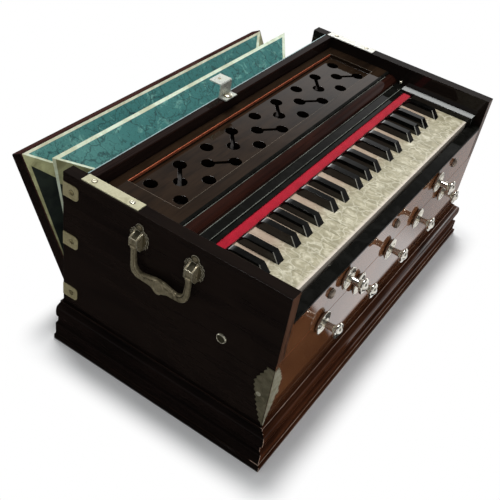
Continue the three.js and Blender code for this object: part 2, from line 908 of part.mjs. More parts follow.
// The bail: an eye on each housing's pin and a bar that hangs between them, with a boss in its middle.
function bail(side) {
  const x = side * (caseHalf + bailPivotOut);
  const place = ([across, down], hand) =>
    new THREE.Vector3(x, bailMiddle + hand * across * bailHalfSpan, bailPivotHeight - down * bailDrop);
  const points = [
    ...bailPathShares.map((share) => place(share, -1)),
    ...bailPathShares.slice(0, -1).reverse().map((share) => place(share, 1)),
  ];
  const section = new THREE.Shape(
    Array.from({ length: barSides }, (_, at) => {
      const angle = (at / barSides) * Math.PI * 2;
      return new THREE.Vector2(bailBarRadius * Math.cos(angle), bailBarRadius * Math.sin(angle));
    }),
  );
  const bar = solid(
    new THREE.ExtrudeGeometry(section, {
      steps: bailSteps,
      extrudePath: new THREE.CatmullRomCurve3(points),
      bevelEnabled: false,
    }),
  );
  const eyes = [];
  const bores = [];
  for (const hand of [-1, 1]) {
    const middle = bailMiddle + hand * bailHalfSpan;
    eyes.push(rod(bailEyeRadius, bailEyeWidth, [0, 1, 0], [x, middle - bailEyeWidth / 2, bailPivotHeight]));
    bores.push(
      rod(
        bailPinRadius + bailPinGap,
        bailEyeWidth + 2 * overrun,
        [0, 1, 0],
        [x, middle - bailEyeWidth / 2 - overrun, bailPivotHeight],
        barSides,
      ),
    );
  }
  const bossHeight = bailPivotHeight - bailDrop * bailPathShares.at(-1)[1];
  const boss = turned(
    bailBossShares.map(([out, along]) => [out * bailBossRadius, (along - 1 / 2) * bailBossHeight]),
    [1, 0, 0],
    [x, bailMiddle, bossHeight],
  );
  return cut(joined([bar, boss, ...eyes]), bores);
}

function latch() {
  const [left, right] = [latchMiddle - latchWidth / 2, latchMiddle + latchWidth / 2];
  const foot = caseTop + fitGap;
  const top = foot + latchRise;
  const outline = [
    [latchFront, foot],
    [latchRiserY, foot],
    [latchRiserY, top - latchThickness],
    [latchBack, top - latchThickness],
    [latchBack, top],
    [latchRiserY - latchThickness, top],
    [latchRiserY - latchThickness, foot + latchThickness],
    [latchFront, foot + latchThickness],
  ];
  const strip = alongX(outline, left, right);
  const hole = rod(
    latchHoleRadius,
    latchThickness + 2 * overrun,
    [0, 0, 1],
    [latchMiddle, latchHoleY, top - latchThickness - overrun],
    barSides,
  );
  const screw = turned(
    [
      [0, -latchScrewDepth - fitGap],
      [latchScrewRadius, -latchScrewDepth - fitGap],
      [latchScrewRadius, latchThickness / 2],
      ...thumbShares.map(([out, up]) => [out * thumbRadius, latchThickness / 2 + up * thumbHeight]),
    ],
    [0, 0, 1],
    [latchMiddle, latchPivotY, foot],
    barSides,
  );
  return joined([cut(strip, [hole]), screw]);
}

// Bellows

// The board as it stands when closed, its lower inner edge on the hinge line; its back is panelled.
function bellowsBoard() {
  const c = boardChamfer;
  const outline = [
    [0, 0],
    [boardThickness - c, 0],
    [boardThickness, c],
    [boardThickness, boardLength - c],
    [boardThickness - c, boardLength],
    [0, boardLength],
  ];
  const panel = block(
    [-boardHalf + boardPanelMargin, boardHalf - boardPanelMargin],
    [boardThickness - boardPanelDepth, boardThickness + overrun],
    [boardPanelMargin, boardLength - boardPanelMargin],
  );
  return cut(alongX(outline, -boardHalf, boardHalf), [panel]);
}

// A place in the plane that leans by a tilt about the hinge line, at a reach from it.
const leaning = (tilt, reach) => [hingeY + reach * Math.sin(tilt), hingeZ + reach * Math.cos(tilt)];

// The lowest point of a fold between two upper edges that stand a rib's width from it.
function foldBottom([ay, az], [by, bz]) {
  const span = Math.hypot(by - ay, bz - az);
  const drop = Math.sqrt(ribWidth ** 2 - (span / 2) ** 2);
  return [(ay + by) / 2 + ((bz - az) / span) * drop, (az + bz) / 2 - ((by - ay) / span) * drop];
}

// The folded cover of paper and leather: one thin skin over the top and both sides.
function bellowsFolds() {
  const backFace = backBoardFront + backBoardThickness + fitGap;
  const boardShift = [-fitGap * Math.cos(boardTilt), fitGap * Math.sin(boardTilt)];
  const onBoard = (reach) => leaning(boardTilt, reach).map((value, axis) => value + boardShift[axis]);
  const edgeOnCase = [backFace, caseTop - foldTopDrop];
  const edgeOnRidge = leaning(ridgeTilt, ridgeReach);
  const edgeOnBoard = onBoard(boardLength - foldEdgeInset);
  const foldCase = foldBottom(edgeOnCase, edgeOnRidge);
  const foldBoard = foldBottom(edgeOnRidge, edgeOnBoard);
  const sections = [
    { top: edgeOnCase, bottom: [backFace, hingeZ + foldStartInset], half: ridgeHalf, start: ridgeHalf },
    {
      top: foldCase,
      bottom: leaning(ridgeTilt / 4, foldStart),
      half: ridgeHalf - foldInset,
      start: ridgeHalf - foldStartInset,
    },
    { top: edgeOnRidge, bottom: leaning(ridgeTilt, foldStart), half: ridgeHalf, start: ridgeHalf },
    {
      top: foldBoard,
      bottom: leaning((ridgeTilt + boardTilt) / 2, foldStart),
      half: ridgeHalf - foldInset,
      start: ridgeHalf - foldStartInset,
    },
    {
      top: edgeOnBoard,
      bottom: onBoard(foldStart),
      half: boardHalf - foldEdgeInset,
      start: boardHalf - foldEdgeInset,
    },
  ];
  const rings = sections.map(({ top, bottom, half, start }) => {
    const depth = Math.hypot(bottom[0] - top[0], bottom[1] - top[1]);
    const inside = top.map((value, axis) => value + ((bottom[axis] - value) / depth) * skinWall);
    return [
      [start, ...bottom],
      [start - skinWall, ...bottom],
      [half - skinWall, ...inside],
      [-half + skinWall, ...inside],
      [-start + skinWall, ...bottom],
      [-start, ...bottom],
      [-half, ...top],
      [half, ...top],
    ];
  });
  const caps = [[0, 1, 2], [0, 2, 7], [2, 3, 6], [2, 6, 7], [3, 4, 5], [3, 5, 6]];
  const [falling, rising] = [[1, 5], [3, 7]];
  return lofted(rings, caps, [falling, rising, falling, rising]);
}

// The instrument

const harmonium = new THREE.Group();
harmonium.add(
  part("left_end_board", endBoard(-1), darkGloss),
  part("right_end_board", endBoard(1), darkGloss),
  part("base_plinth", base(), darkGloss),
  part("front_board", frontBoard(), redGloss),
  part("key_slip", keySlip(), blackGloss),
  part("back_board", backBoard(), darkGloss),
  part("reed_board", reedBoard(), plainWood),
  part("sound_cover", soundCover(), coverGloss),
  part("key_felt", keyFelt(), feltRed),
  part("left_handle_bail", bail(-1), nickel),
  part("right_handle_bail", bail(1), nickel),
  part("bellows_latch", latch(), nickel),
  part("bellows_folds", bellowsFolds(), tealPaper),
);

const openBoard = new THREE.Group();
openBoard.position.set(0, hingeY, hingeZ);
openBoard.rotation.x = -boardTilt;
openBoard.add(part("bellows_board", bellowsBoard(), redGloss));
harmonium.add(openBoard);

stopPlaces().forEach((place, at) => {
  harmonium.add(part(`stop_${at + 1}`, stop(place), nickel));
});

keyRow().forEach((lever, at) => {
  const name = `${lever.black ? "black" : "white"}_key_${String(at + 1).padStart(2, "0")}`;
  const shape = lever.black ? blackKey(lever) : whiteKey(lever);
  harmonium.add(part(name, shape, lever.black ? blackGloss : pearl));
});

export default harmonium;
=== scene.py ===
"""The finished looks of a hand-pumped table harmonium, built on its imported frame.

Lengths are in millimetres while a mesh is being made and in metres once it is a piece.
+X runs along the keyboard from bass to treble, +Y from the player to the bellows, +Z up.
"""

import json
import logging
import math
import random
from dataclasses import dataclass, field
from enum import Enum
from typing import Callable, Iterable, Optional, Sequence

import bmesh
import bpy
from mathutils import Matrix, Vector

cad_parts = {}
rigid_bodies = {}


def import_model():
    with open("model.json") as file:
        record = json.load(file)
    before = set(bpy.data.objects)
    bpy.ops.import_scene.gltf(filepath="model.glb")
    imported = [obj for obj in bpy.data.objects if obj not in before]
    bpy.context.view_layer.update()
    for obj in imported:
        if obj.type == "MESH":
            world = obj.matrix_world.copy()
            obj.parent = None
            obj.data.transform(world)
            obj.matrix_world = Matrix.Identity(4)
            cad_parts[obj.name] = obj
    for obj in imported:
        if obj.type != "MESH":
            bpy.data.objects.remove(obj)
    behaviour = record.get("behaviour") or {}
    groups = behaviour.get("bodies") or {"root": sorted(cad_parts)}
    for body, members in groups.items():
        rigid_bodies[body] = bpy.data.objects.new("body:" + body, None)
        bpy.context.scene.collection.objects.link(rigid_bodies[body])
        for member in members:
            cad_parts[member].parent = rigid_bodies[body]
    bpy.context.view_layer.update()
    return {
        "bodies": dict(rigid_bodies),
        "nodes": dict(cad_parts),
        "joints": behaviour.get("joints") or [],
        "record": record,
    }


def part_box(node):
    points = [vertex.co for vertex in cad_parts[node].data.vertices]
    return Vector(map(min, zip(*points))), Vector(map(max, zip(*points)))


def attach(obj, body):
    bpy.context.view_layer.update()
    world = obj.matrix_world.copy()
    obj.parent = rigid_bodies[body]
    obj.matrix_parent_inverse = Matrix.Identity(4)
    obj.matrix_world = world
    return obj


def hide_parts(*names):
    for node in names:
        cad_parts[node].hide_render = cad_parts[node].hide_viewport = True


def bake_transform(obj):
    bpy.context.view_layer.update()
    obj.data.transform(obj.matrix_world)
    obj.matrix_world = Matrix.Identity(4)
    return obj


LOG = logging.getLogger("harmonium")
METRES = 0.001
SMALL_PART_SHARP = 35
ENDS = {-1: "left", 1: "right"}

Point = Sequence[float]
Colour = tuple[float, float, float]
Span = tuple[float, float]
Pair = tuple[Point, Point]
Table = tuple[Span, ...]
Section = tuple[Point, Point, float, float]
Thing = bpy.types.Object
Socket = bpy.types.NodeSocket
Face = bmesh.types.BMFace


class Body(Enum):
    """The bodies of the frame that more than one sub-assembly uses."""

    CASE = "case"
    FLAP = "bellows_flap"
    LATCH = "latch"


class Axis(Enum):
    """The direction that an outline is drawn out along."""

    X = 0
    Y = 1
    Z = 2


def srgb(red: int, green: int, blue: int) -> Colour:
    """Turns a colour as it is seen into the linear values that a shader takes.

    Args:
        red: Red from 0 to 255.
        green: Green from 0 to 255.
        blue: Blue from 0 to 255.

    Returns:
        The linear colour.
    """

    def linear(value: int) -> float:
        """Returns one channel in linear light."""
        share = value / 255
        return share / 12.92 if share <= 0.04045 else ((share + 0.055) / 1.055) ** 2.4

    return linear(red), linear(green), linear(blue)


class Tree:
    """A node tree, with short calls for the nodes that the studio and the finishes use."""

    def __init__(self, tree: bpy.types.NodeTree) -> None:
        """Takes a tree over and empties it.

        Args:
            tree: The tree of a material or of the world.
        """
        self.tree = tree
        self.tree.nodes.clear()

    def node(self, kind: str, settings: Optional[dict] = None, **inputs: object) -> bpy.types.Node:
        """Adds a node.

        Args:
            kind: The node's type.
            settings: The node's own properties.
            **inputs: Values or sockets for its inputs, by name with _ for a space.

        Returns:
            The node.
        """
        made = self.tree.nodes.new(kind)
        for key, value in (settings or {}).items():
            setattr(made, key, value)
        for key, value in inputs.items():
            self.feed(made.inputs[key.replace("_", " ")], value)
        return made

    def row(self, kind: str, settings: Optional[dict], *values: object) -> bpy.types.Node:
        """Adds a node whose inputs are fed by their order.

        Args:
            kind: The node's type.
            settings: The node's own properties.
            *values: Values or sockets for its inputs.

        Returns:
            The node.
        """
        made = self.node(kind, settings)
        for socket, value in zip(made.inputs, values):
            self.feed(socket, value)
        return made

    def feed(self, socket: Socket, value: object) -> None:
        """Sets or links one input.

        Args:
            socket: The input.
            value: A plain value, or the output socket to link.
        """
        if isinstance(value, Socket):
            self.tree.links.new(value, socket)
        elif isinstance(value, tuple) and len(value) == 3 and socket.type == "RGBA":
            socket.default_value = (*value, 1)
        else:
            socket.default_value = value

    def math(self, kind: str, first: object, second: object = 0.0, third: object = 0.0) -> Socket:
        """One step of arithmetic."""
        return self.row("ShaderNodeMath", {"operation": kind}, first, second, third).outputs[0]

    def vector(self, kind: str, first: object, second: Point = (0, 0, 0)) -> Socket:
        """One step of arithmetic on vectors."""
        made = self.row("ShaderNodeVectorMath", {"operation": kind}, first, second)
        return made.outputs["Value" if kind == "LENGTH" else "Vector"]

    def rise(self, value: object, low: float, high: float, least: float = 0.0,
             most: float = 1.0) -> Socket:
        """A smooth step.

        Args:
            value: What is measured.
            low: The value at which the result is least.
            high: The value at which the result is most.
            least: The result at the low value.
            most: The result at the high value.

        Returns:
            The result's socket.
        """
        made = self.node("ShaderNodeMapRange", {"interpolation_type": "SMOOTHSTEP"}, Value=value, From_Min=low,
                         From_Max=high, To_Min=least, To_Max=most)
        return made.outputs[0]

    def ramp(self, factor: Socket, stops: Sequence[tuple[float, object]]) -> Socket:
        """Maps a value to colours or greys.

        Args:
            factor: The value.
            stops: The places from 0 to 1, each with a colour or a grey.

        Returns:
            The colour's socket.
        """
        made = self.node("ShaderNodeValToRGB", Fac=factor)
        elements = made.color_ramp.elements
        while len(elements) < len(stops):
            elements.new(0.5)
        for element, (place, colour) in zip(elements, stops):
            element.position = place
            shade = colour if isinstance(colour, tuple) else (colour, colour, colour)
            element.color = (*shade, 1)
        return made.outputs[0]

    def veil(self, share: object, first: bpy.types.Node, second: bpy.types.Node) -> bpy.types.Node:
        """Mixes two shaders by the second one's share."""
        return self.row("ShaderNodeMixShader", None, share, first.outputs[0], second.outputs[0])


class Graph(Tree):
    """A material's node tree on the piece's own coordinates, in metres."""

    def __init__(self, name: str) -> None:
        """Starts a material with its surface shader.

        Args:
            name: The material's name.
        """
        self.material = bpy.data.materials.new(name)
        self.material.use_nodes = True
        super().__init__(self.material.node_tree)
        self.shader = self.node("ShaderNodeBsdfPrincipled")
        self.node("ShaderNodeOutputMaterial", Surface=self.shader.outputs[0])
        self.place = self.node("ShaderNodeTexCoord").outputs["Object"]

    def surface(self, **inputs: object) -> None:
        """Feeds the surface shader's inputs, by name with _ for a space."""
        for key, value in inputs.items():
            self.feed(self.shader.inputs[key.replace("_", " ")], value)

    def stretched(self, scale: Point) -> Socket:
        """Object coordinates with a scale on each axis."""
        return self.node("ShaderNodeMapping", Vector=self.place, Scale=tuple(scale)).outputs[0]

    def noise(self, scale: float, detail: float = 4, rough: float = 0.55, bend: float = 0,
              at: Optional[Socket] = None) -> Socket:
        """Soft noise from 0 to 1.

        Args:
            scale: How many blotches there are to a metre.
            detail: The octaves of finer noise.
            rough: How strong the finer noise is.
            bend: How far the noise distorts itself.
            at: The coordinates, or the plain ones.

        Returns:
            The noise's socket.
        """
        made = self.node("ShaderNodeTexNoise", Vector=at or self.place, Scale=scale, Detail=detail,
                         Roughness=rough, Distortion=bend)
        return made.outputs["Fac"]

    def cells(self, scale: float, feature: str = "F1",
              at: Optional[Socket] = None) -> Socket:
        """A pattern of cells.

        Args:
            scale: How many cells there are to a metre.
            feature: Which distance is measured.
            at: The coordinates, or the plain ones.

        Returns:
            The distance's socket.
        """
        made = self.node("ShaderNodeTexVoronoi", {"feature": feature}, Vector=at or self.place, Scale=scale)
        return made.outputs["Distance"]

    def bent(self, scale: float, amount: float, at: Optional[Socket] = None) -> Socket:
        """Coordinates that wander by noise.

        Args:
            scale: How many bends there are to a metre.
            amount: How far a place is moved, in metres.
            at: The coordinates, or the plain ones.

        Returns:
            The bent coordinates' socket.
        """
        start = at or self.place
        drift = self.node("ShaderNodeTexNoise", Vector=start, Scale=scale, Detail=3).outputs["Color"]
        centred = self.vector("SUBTRACT", drift, (0.5, 0.5, 0.5))
        return self.vector("ADD", start, self.vector("MULTIPLY", centred, (amount, amount, amount)))

    def mix(self, factor: object, first: object, second: object) -> Socket:
        """Mixes two colours by the second one's share."""
        made = self.node("ShaderNodeMix", {"data_type": "RGBA"})
        for socket, value in zip((made.inputs[0], made.inputs[6], made.inputs[7]), (factor, first, second)):
            self.feed(socket, value)
        return made.outputs[2]

    def step(self, axis: int, low: float, high: float, most: float = 1.0) -> Socket:
        """A smooth rise from 0 along one axis of the piece.

        Args:
            axis: 0, 1 or 2 for x, y or z.
            low: Where it is 0, in metres.
            high: Where it is at its most, in metres.
            most: Its highest value.

        Returns:
            The value's socket.
        """
        split = self.node("ShaderNodeSeparateXYZ", Vector=self.place)
        return self.rise(split.outputs[axis], low, high, most=most)

    def bump(self, height: Socket, depth: float, strength: float = 1,
             after: Optional[Socket] = None) -> Socket:
        """A bumped normal.

        Args:
            height: The height from 0 to 1.
            depth: What a height of 1 stands for, in metres.
            strength: How much of it shows.
            after: A normal to add it to.

        Returns:
            The normal's socket.
        """
        made = self.node("ShaderNodeBump", Height=height, Distance=depth, Strength=strength)
        if after is not None:
            self.feed(made.inputs["Normal"], after)
        return made.outputs[0]


def linked(name: str, data: bpy.types.ID) -> Thing:
    """Makes an object and puts it in the scene."""
    thing = bpy.data.objects.new(name, data)
    bpy.context.scene.collection.objects.link(thing)
    return thing


def flat(name: str, corners: Sequence[Point], height: float) -> bpy.types.Mesh:
    """Makes a mesh of one level face, in metres."""
    data = bpy.data.meshes.new(name)
    data.from_pydata([(x, y, height) for x, y in corners], [], [tuple(range(len(corners)))])
    return data


def read_off(table: Sequence[Point], at: float) -> float:
    """Reads a value off a table of rising places, in a straight line from one place to the next."""
    for (low, first), (high, second) in zip(table, table[1:]):
        if at <= high:
            return first + (second - first) * (at - low) / (high - low)
    return table[-1][1]


def darker(colour: Colour, share: float) -> Colour:
    """Dims a colour to a share of its light."""
    return tuple(channel * share for channel in colour)


@dataclass(frozen=True)
class Finish:
    """A finish that builds its material the first time it is asked for."""

    name: str

    def paint(self, graph: Graph) -> None:
        """Fills in the material. Each kind of finish has its own."""
        raise NotImplementedError

    @property
    def material(self) -> bpy.types.Material:
        """The finish's material."""
        known = bpy.data.materials.get(self.name)
        if known:
            return known
        graph = Graph(self.name)
        self.paint(graph)
        return graph.material


@dataclass(frozen=True)
class Varnish(Finish):
    """Grained wood under gloss varnish."""

    dark: Colour
    light: Colour
    grain: tuple[float, float, float] = (3.0, 60.0, 60.0)
    figure: float = 1.0
    roughness: float = 0.2
    coat: float = 1.0
    specular: float = 0.0
    relief: float = 0.25
    open_pores: float = 0.45
    # Painted shade: an axis and a span along it past which the colour is darkened, and how dark it gets.
    painted_shade_part: Optional[tuple[int, float, float]] = None
    painted_shade_level: float = 0.55

    def paint(self, graph: Graph) -> None:
        """Lays long grain, broad figure and smudges in the gloss, and paints shade by darkening the wood on one side of
        a place.
        """
        along = graph.bent(9, 0.03, graph.stretched(self.grain))
        fibre = graph.noise(1.3, 6, 0.62, 0.7, along)
        pores = graph.noise(7.0, 3, 0.7, 0, along)
        broad = graph.noise(5.0 * self.figure, 3, 0.5, 1.5)
        shade = graph.math("MULTIPLY_ADD", broad, 0.55, graph.math("MULTIPLY", fibre, 0.5))
        colour = graph.ramp(shade, [(0.34, self.dark), (0.54, self.light), (0.72, self.dark)])
        open_pores = graph.ramp(pores, [(0.5, 0.0), (0.66, self.open_pores)])
        colour = graph.mix(open_pores, colour, darker(self.dark, 0.55))
        # Painted shade: darkens the colour on one side of the span.
        if self.painted_shade_part:
            colour = graph.mix(graph.step(*self.painted_shade_part), darker(self.dark, self.painted_shade_level), colour)
        smudge = graph.noise(22, 4, 0.6, 0.4)
        low, high = self.roughness * 0.75, self.roughness * 1.5
        graph.surface(Base_Color=colour, Roughness=graph.ramp(smudge, [(0.35, low), (0.7, high)]),
                      Coat_Weight=self.coat, Coat_Roughness=0.035, Specular_IOR_Level=self.specular,
                      Normal=graph.bump(pores, 0.0001, self.relief),
                      Coat_Normal=graph.bump(graph.noise(35, 2), 0.0002, self.relief))


@dataclass(frozen=True)
class Lacquer(Finish):
    """Even gloss lacquer with faint dust and rub marks."""

    colour: Colour
    roughness: float = 0.03
    coat: float = 1.0

    def paint(self, graph: Graph) -> None:
        """Keeps the colour nearly even and varies the gloss."""
        rub = graph.noise(60, 5, 0.6, 0.6)
        lifted = tuple(min(1.0, channel * 1.6 + 0.004) for channel in self.colour)
        graph.surface(Base_Color=graph.mix(graph.ramp(rub, [(0.45, 0.0), (0.8, 1.0)]), self.colour, lifted),
                      Roughness=0.5, Specular_IOR_Level=0.0, Coat_Weight=self.coat,
                      Coat_Roughness=graph.ramp(rub, [(0.3, self.roughness), (0.75, self.roughness * 2.2)]),
                      Coat_Normal=graph.bump(graph.noise(90, 3), 0.00008, 0.3))


@dataclass(frozen=True)
class BareWood(Finish):
    """Unvarnished wood with its grain along one axis."""

    dark: Colour
    light: Colour
    grain: tuple[float, float, float] = (90.0, 5.0, 90.0)
    specular: float = 0.5

    def paint(self, graph: Graph) -> None:
        """Draws fine grain lines in two tones."""
        lines = graph.noise(2.0, 6, 0.65, 0.8, graph.stretched(self.grain))
        graph.surface(Base_Color=graph.ramp(lines, [(0.35, self.dark), (0.65, self.light)]),
                      Roughness=0.6, Specular_IOR_Level=self.specular, Normal=graph.bump(lines, 0.0002, 0.5))


@dataclass(frozen=True)
class Pearl(Finish):
    """Pearly celluloid with folded pale veins."""

    body: Colour
    vein: Colour
    shadow: Colour
    tail: Colour
    front: Colour
    tail_ends: Span = (-0.090, -0.052)
    front_ends: Span = (-0.117, -0.122)

    def paint(self, graph: Graph) -> None:
        """Folds the cells by noise into curled scales, and tints the keys' fronts and tails."""
        folded = graph.bent(75, 0.016, graph.stretched((1, 0.8, 1)))
        edge = graph.cells(80, "DISTANCE_TO_EDGE", at=folded)
        scale = graph.ramp(graph.cells(80, at=folded), [(0.12, 0.7), (0.62, 0.25)])
        tint = graph.math("MULTIPLY_ADD", graph.noise(110, 3, 0.6, 1.4, folded), 0.5,
                          graph.math("MULTIPLY", scale, 0.5))
        tone = graph.ramp(tint, [(0.36, self.shadow), (0.5, self.body), (0.66, self.vein)])
        veins = graph.ramp(edge, [(0.0, 0.95), (0.035, 0.5), (0.09, 0.0)])
        patchy = graph.math("MULTIPLY", veins, graph.ramp(graph.noise(50, 2), [(0.4, 0.4), (0.58, 1.0)]))
        colour = graph.mix(patchy, tone, self.vein)
        colour = graph.mix(graph.step(1, *self.tail_ends, 0.8), colour, self.tail)
        colour = graph.mix(graph.step(1, *self.front_ends, 0.85), colour, self.front)
        graph.surface(Base_Color=colour, Roughness=0.28, Coat_Weight=0.6, Coat_Roughness=0.12,
                      Normal=graph.bump(edge, 0.0002, 0.15))


@dataclass(frozen=True)
class Felt(Finish):
    """Pressed wool felt."""

    colour: Colour

    def paint(self, graph: Graph) -> None:
        """Mixes fibres of two depths and roughens the surface."""
        wool = graph.noise(900, 4, 0.7, 0.5)
        patch = graph.noise(60, 3)
        factor = graph.math("MULTIPLY_ADD", patch, 0.4, graph.math("MULTIPLY", wool, 0.6))
        colour = graph.ramp(factor, [(0.35, darker(self.colour, 0.6)), (0.6, self.colour)])
        graph.surface(Base_Color=colour, Roughness=0.95, Sheen_Weight=0.25, Sheen_Roughness=0.5, Specular_IOR_Level=0.1,
                      Normal=graph.bump(wool, 0.0006, 0.8))


@dataclass(frozen=True)
class MarbledPaper(Finish):
    """Paper with a crackled, marbled print."""

    ground: Colour
    light: Colour
    crackle: Colour
    pale_end: Span = (-0.13, -0.2)

    def paint(self, graph: Graph) -> None:
        """Breaks an uneven ground with wandering dark cracks and small flecks."""
        wander = graph.bent(75, 0.026)
        cracks = graph.cells(26, "DISTANCE_TO_EDGE", at=wander)
        small = graph.cells(100, "DISTANCE_TO_EDGE", at=graph.bent(150, 0.012))
        tone = graph.noise(46, 6, 0.68, 1.4)
        fleck = graph.noise(300, 4, 0.66, 0.6)
        broken = graph.ramp(graph.noise(90, 3, 0.6), [(0.42, 0.0), (0.6, 1.0)])
        colour = graph.ramp(tone, [(0.36, self.ground), (0.56, self.ground), (0.7, self.light)])
        colour = graph.mix(graph.step(0, *self.pale_end, 0.2), colour, self.light)
        lines = graph.ramp(cracks, [(0.0, 0.7), (0.015, 0.5), (0.034, 0.0)])
        colour = graph.mix(lines, colour, self.crackle)
        hair = graph.math("MULTIPLY", graph.ramp(small, [(0.0, 0.75), (0.07, 0.0)]), broken)
        colour = graph.mix(hair, colour, self.crackle)
        colour = graph.mix(graph.ramp(fleck, [(0.58, 0.0), (0.66, 0.75)]), colour, self.crackle)
        colour = graph.mix(graph.ramp(fleck, [(0.3, 0.45), (0.38, 0.0)]), colour, self.light)
        graph.surface(Base_Color=colour, Roughness=0.55, Specular_IOR_Level=0.35,
                      Normal=graph.bump(tone, 0.0008, 0.4, graph.bump(fleck, 0.0002, 0.4)))


@dataclass(frozen=True)
class Hide(Finish):
    """Thin glued leather or plain paper with handling marks."""

    colour: Colour
    soiled: Colour
    roughness: float = 0.6

    def paint(self, graph: Graph) -> None:
        """Stains the skin unevenly and pebbles it."""
        stain = graph.noise(45, 5, 0.6, 0.9)
        pebble = graph.cells(700, "F1")
        graph.surface(Base_Color=graph.ramp(stain, [(0.36, self.soiled), (0.6, self.colour)]),
                      Roughness=self.roughness, Specular_IOR_Level=0.3,
                      Normal=graph.bump(pebble, 0.0002, 0.4, graph.bump(stain, 0.0008, 0.4)))


@dataclass(frozen=True)
class Plating(Finish):
    """Plated or bare metal, from mirror bright to dull."""

    colour: Colour
    tarnish: Colour
    roughness: float = 0.08
    worn: float = 0.3
    metal: float = 1.0

    def paint(self, graph: Graph) -> None:
        """Dulls and tints the plating in patches, with fine scratches."""
        patch = graph.noise(90, 5, 0.62, 0.8)
        scratch = graph.noise(40, 3, 0.7, 0, graph.stretched((30, 1.5, 30)))
        mask = graph.ramp(patch, [(0.5 - self.worn * 0.3, 0.0), (0.86 - self.worn * 0.25, 1.0)])
        rough = graph.math("MULTIPLY_ADD", mask, self.roughness * 1.6 + self.worn * 0.12, self.roughness)
        graph.surface(Base_Color=graph.mix(mask, self.colour, self.tarnish), Metallic=self.metal, Roughness=rough,
                      Normal=graph.bump(scratch, 0.00005, self.worn * 0.6))


END_WOOD = Varnish("end_board_varnish", srgb(17, 13, 12), srgb(26, 20, 17), (40, 3, 40), 1.0, 0.3, 0.3, relief=0.04,
                   open_pores=0.15)
END_FRONT = Varnish("end_board_front_varnish", srgb(64, 42, 31), srgb(96, 68, 54), (40, 40, 3), 1.0, 0.3, 0.5)
MOULDING_WOOD = Varnish("moulding_varnish", srgb(40, 21, 13), srgb(80, 45, 28), (3, 60, 60), 1.0, 0.25, 0.35)
# The base mouldings' end faces are painted nearly black as shade, with a darker copy of the moulding varnish.
MOULDING_SHADED_END = Varnish("moulding_end_varnish", srgb(12, 9, 8), srgb(22, 16, 14), (60, 3, 60), 1.0, 0.25, 0.25)
# Painted highlights: pale lines on the base mouldings' rounded edges stand for light caught there. Behind the front
# they are painted dark as shade.
BASE_EDGE_HIGHLIGHT = Varnish("worn_arris", srgb(150, 112, 90), srgb(240, 214, 196), (14, 14, 14), 1.0, 0.3,
                     painted_shade_part=(1, -0.1405, -0.1425), painted_shade_level=0.08)
# The front board is painted darker below about 80 mm. This is painted shade and a painted dark reflection of the base
# mouldings at its foot.
FRONT_WOOD = Varnish("front_board_varnish", srgb(98, 60, 38), srgb(128, 82, 52), (0.8, 30, 9), 0.9, 0.2,
                     relief=0.01, open_pores=0.03, painted_shade_part=(2, 0.078, 0.090))
COVER_WOOD = Varnish("sound_cover_varnish", srgb(22, 15, 10), srgb(44, 32, 22), (2.5, 26, 40), 1.0, 0.25)
# Painted highlights: pale strips along the sound cover's front arrises stand for light caught on them.
COVER_HIGHLIGHT = Varnish("light_arris", srgb(40, 36, 30), srgb(122, 126, 118), (16, 80, 80), 1.0, 0.3, 0.3,
                      open_pores=0.6)
# Painted highlight: paler lines along the edges of the cover's recess.
RECESS_HIGHLIGHT = Varnish("recess_edge", srgb(60, 50, 42), srgb(108, 98, 86), (14, 14, 80), 1.0, 0.3, 0.5)
# The cover's hole walls are painted near black as the shade inside the holes.
HOLE_SHADE = BareWood("hole_wood", srgb(10, 7, 5), srgb(18, 12, 9), specular=0.0)
COVE_WOOD = Varnish("cover_hollow_varnish", srgb(26, 12, 9), srgb(44, 22, 16), (2.5, 60, 60), 1.0, 0.3, 0.7)
RAIL_WOOD = Varnish("back_rail_varnish", srgb(18, 12, 11), srgb(34, 24, 21), (2.5, 60, 60), 1.0, 0.25, 0.35)
# Painted highlight: a pale strip along the back rail's top edge stands for light caught there.
RAIL_HIGHLIGHT = Varnish("rail_arris", srgb(116, 140, 140), srgb(160, 182, 182), (40, 40, 40), 1.0, 0.3, 0.5)
FLAP_WOOD = Varnish("bellows_board_varnish", srgb(38, 22, 22), srgb(66, 42, 38), (2.5, 60, 20), 1.0, 0.5, 0.0)
BLACK_LACQUER = Lacquer("black_case_lacquer", srgb(14, 14, 12), 0.03, 0.5)
SLIP_LACQUER = Lacquer("key_slip_lacquer", srgb(14, 14, 12), 0.04, 0.25)
KEY_BLACK = Lacquer("black_key_gloss", srgb(8, 8, 7), 0.03, 0.9)
# A painted glint: a pale strip on the black keys' front-left arris stands for a highlight.
KEY_GLINT = Lacquer("black_key_glint", srgb(176, 176, 170), 0.05)
KEY_WOOD = BareWood("key_wood", srgb(168, 132, 112), srgb(206, 178, 160))
# The key levers' tails under the cover are painted dark as the shade there; the wood itself is not dark.
KEY_SHADED_TAIL = BareWood("key_tail_wood", srgb(24, 19, 15), srgb(38, 29, 23))
KEY_PEARL = Pearl("key_pearl", srgb(178, 171, 144), srgb(220, 215, 192), srgb(154, 148, 122), srgb(180, 156, 138),
                  srgb(225, 214, 200))
REED_WOOD = BareWood("reed_board_wood", srgb(150, 108, 64), srgb(196, 152, 100), (5, 90, 90))
RED_FELT = Felt("crimson_felt", srgb(186, 12, 42))
TEAL_PAPER = MarbledPaper("teal_marbled_paper", srgb(54, 114, 111), srgb(110, 164, 154), srgb(12, 48, 52))
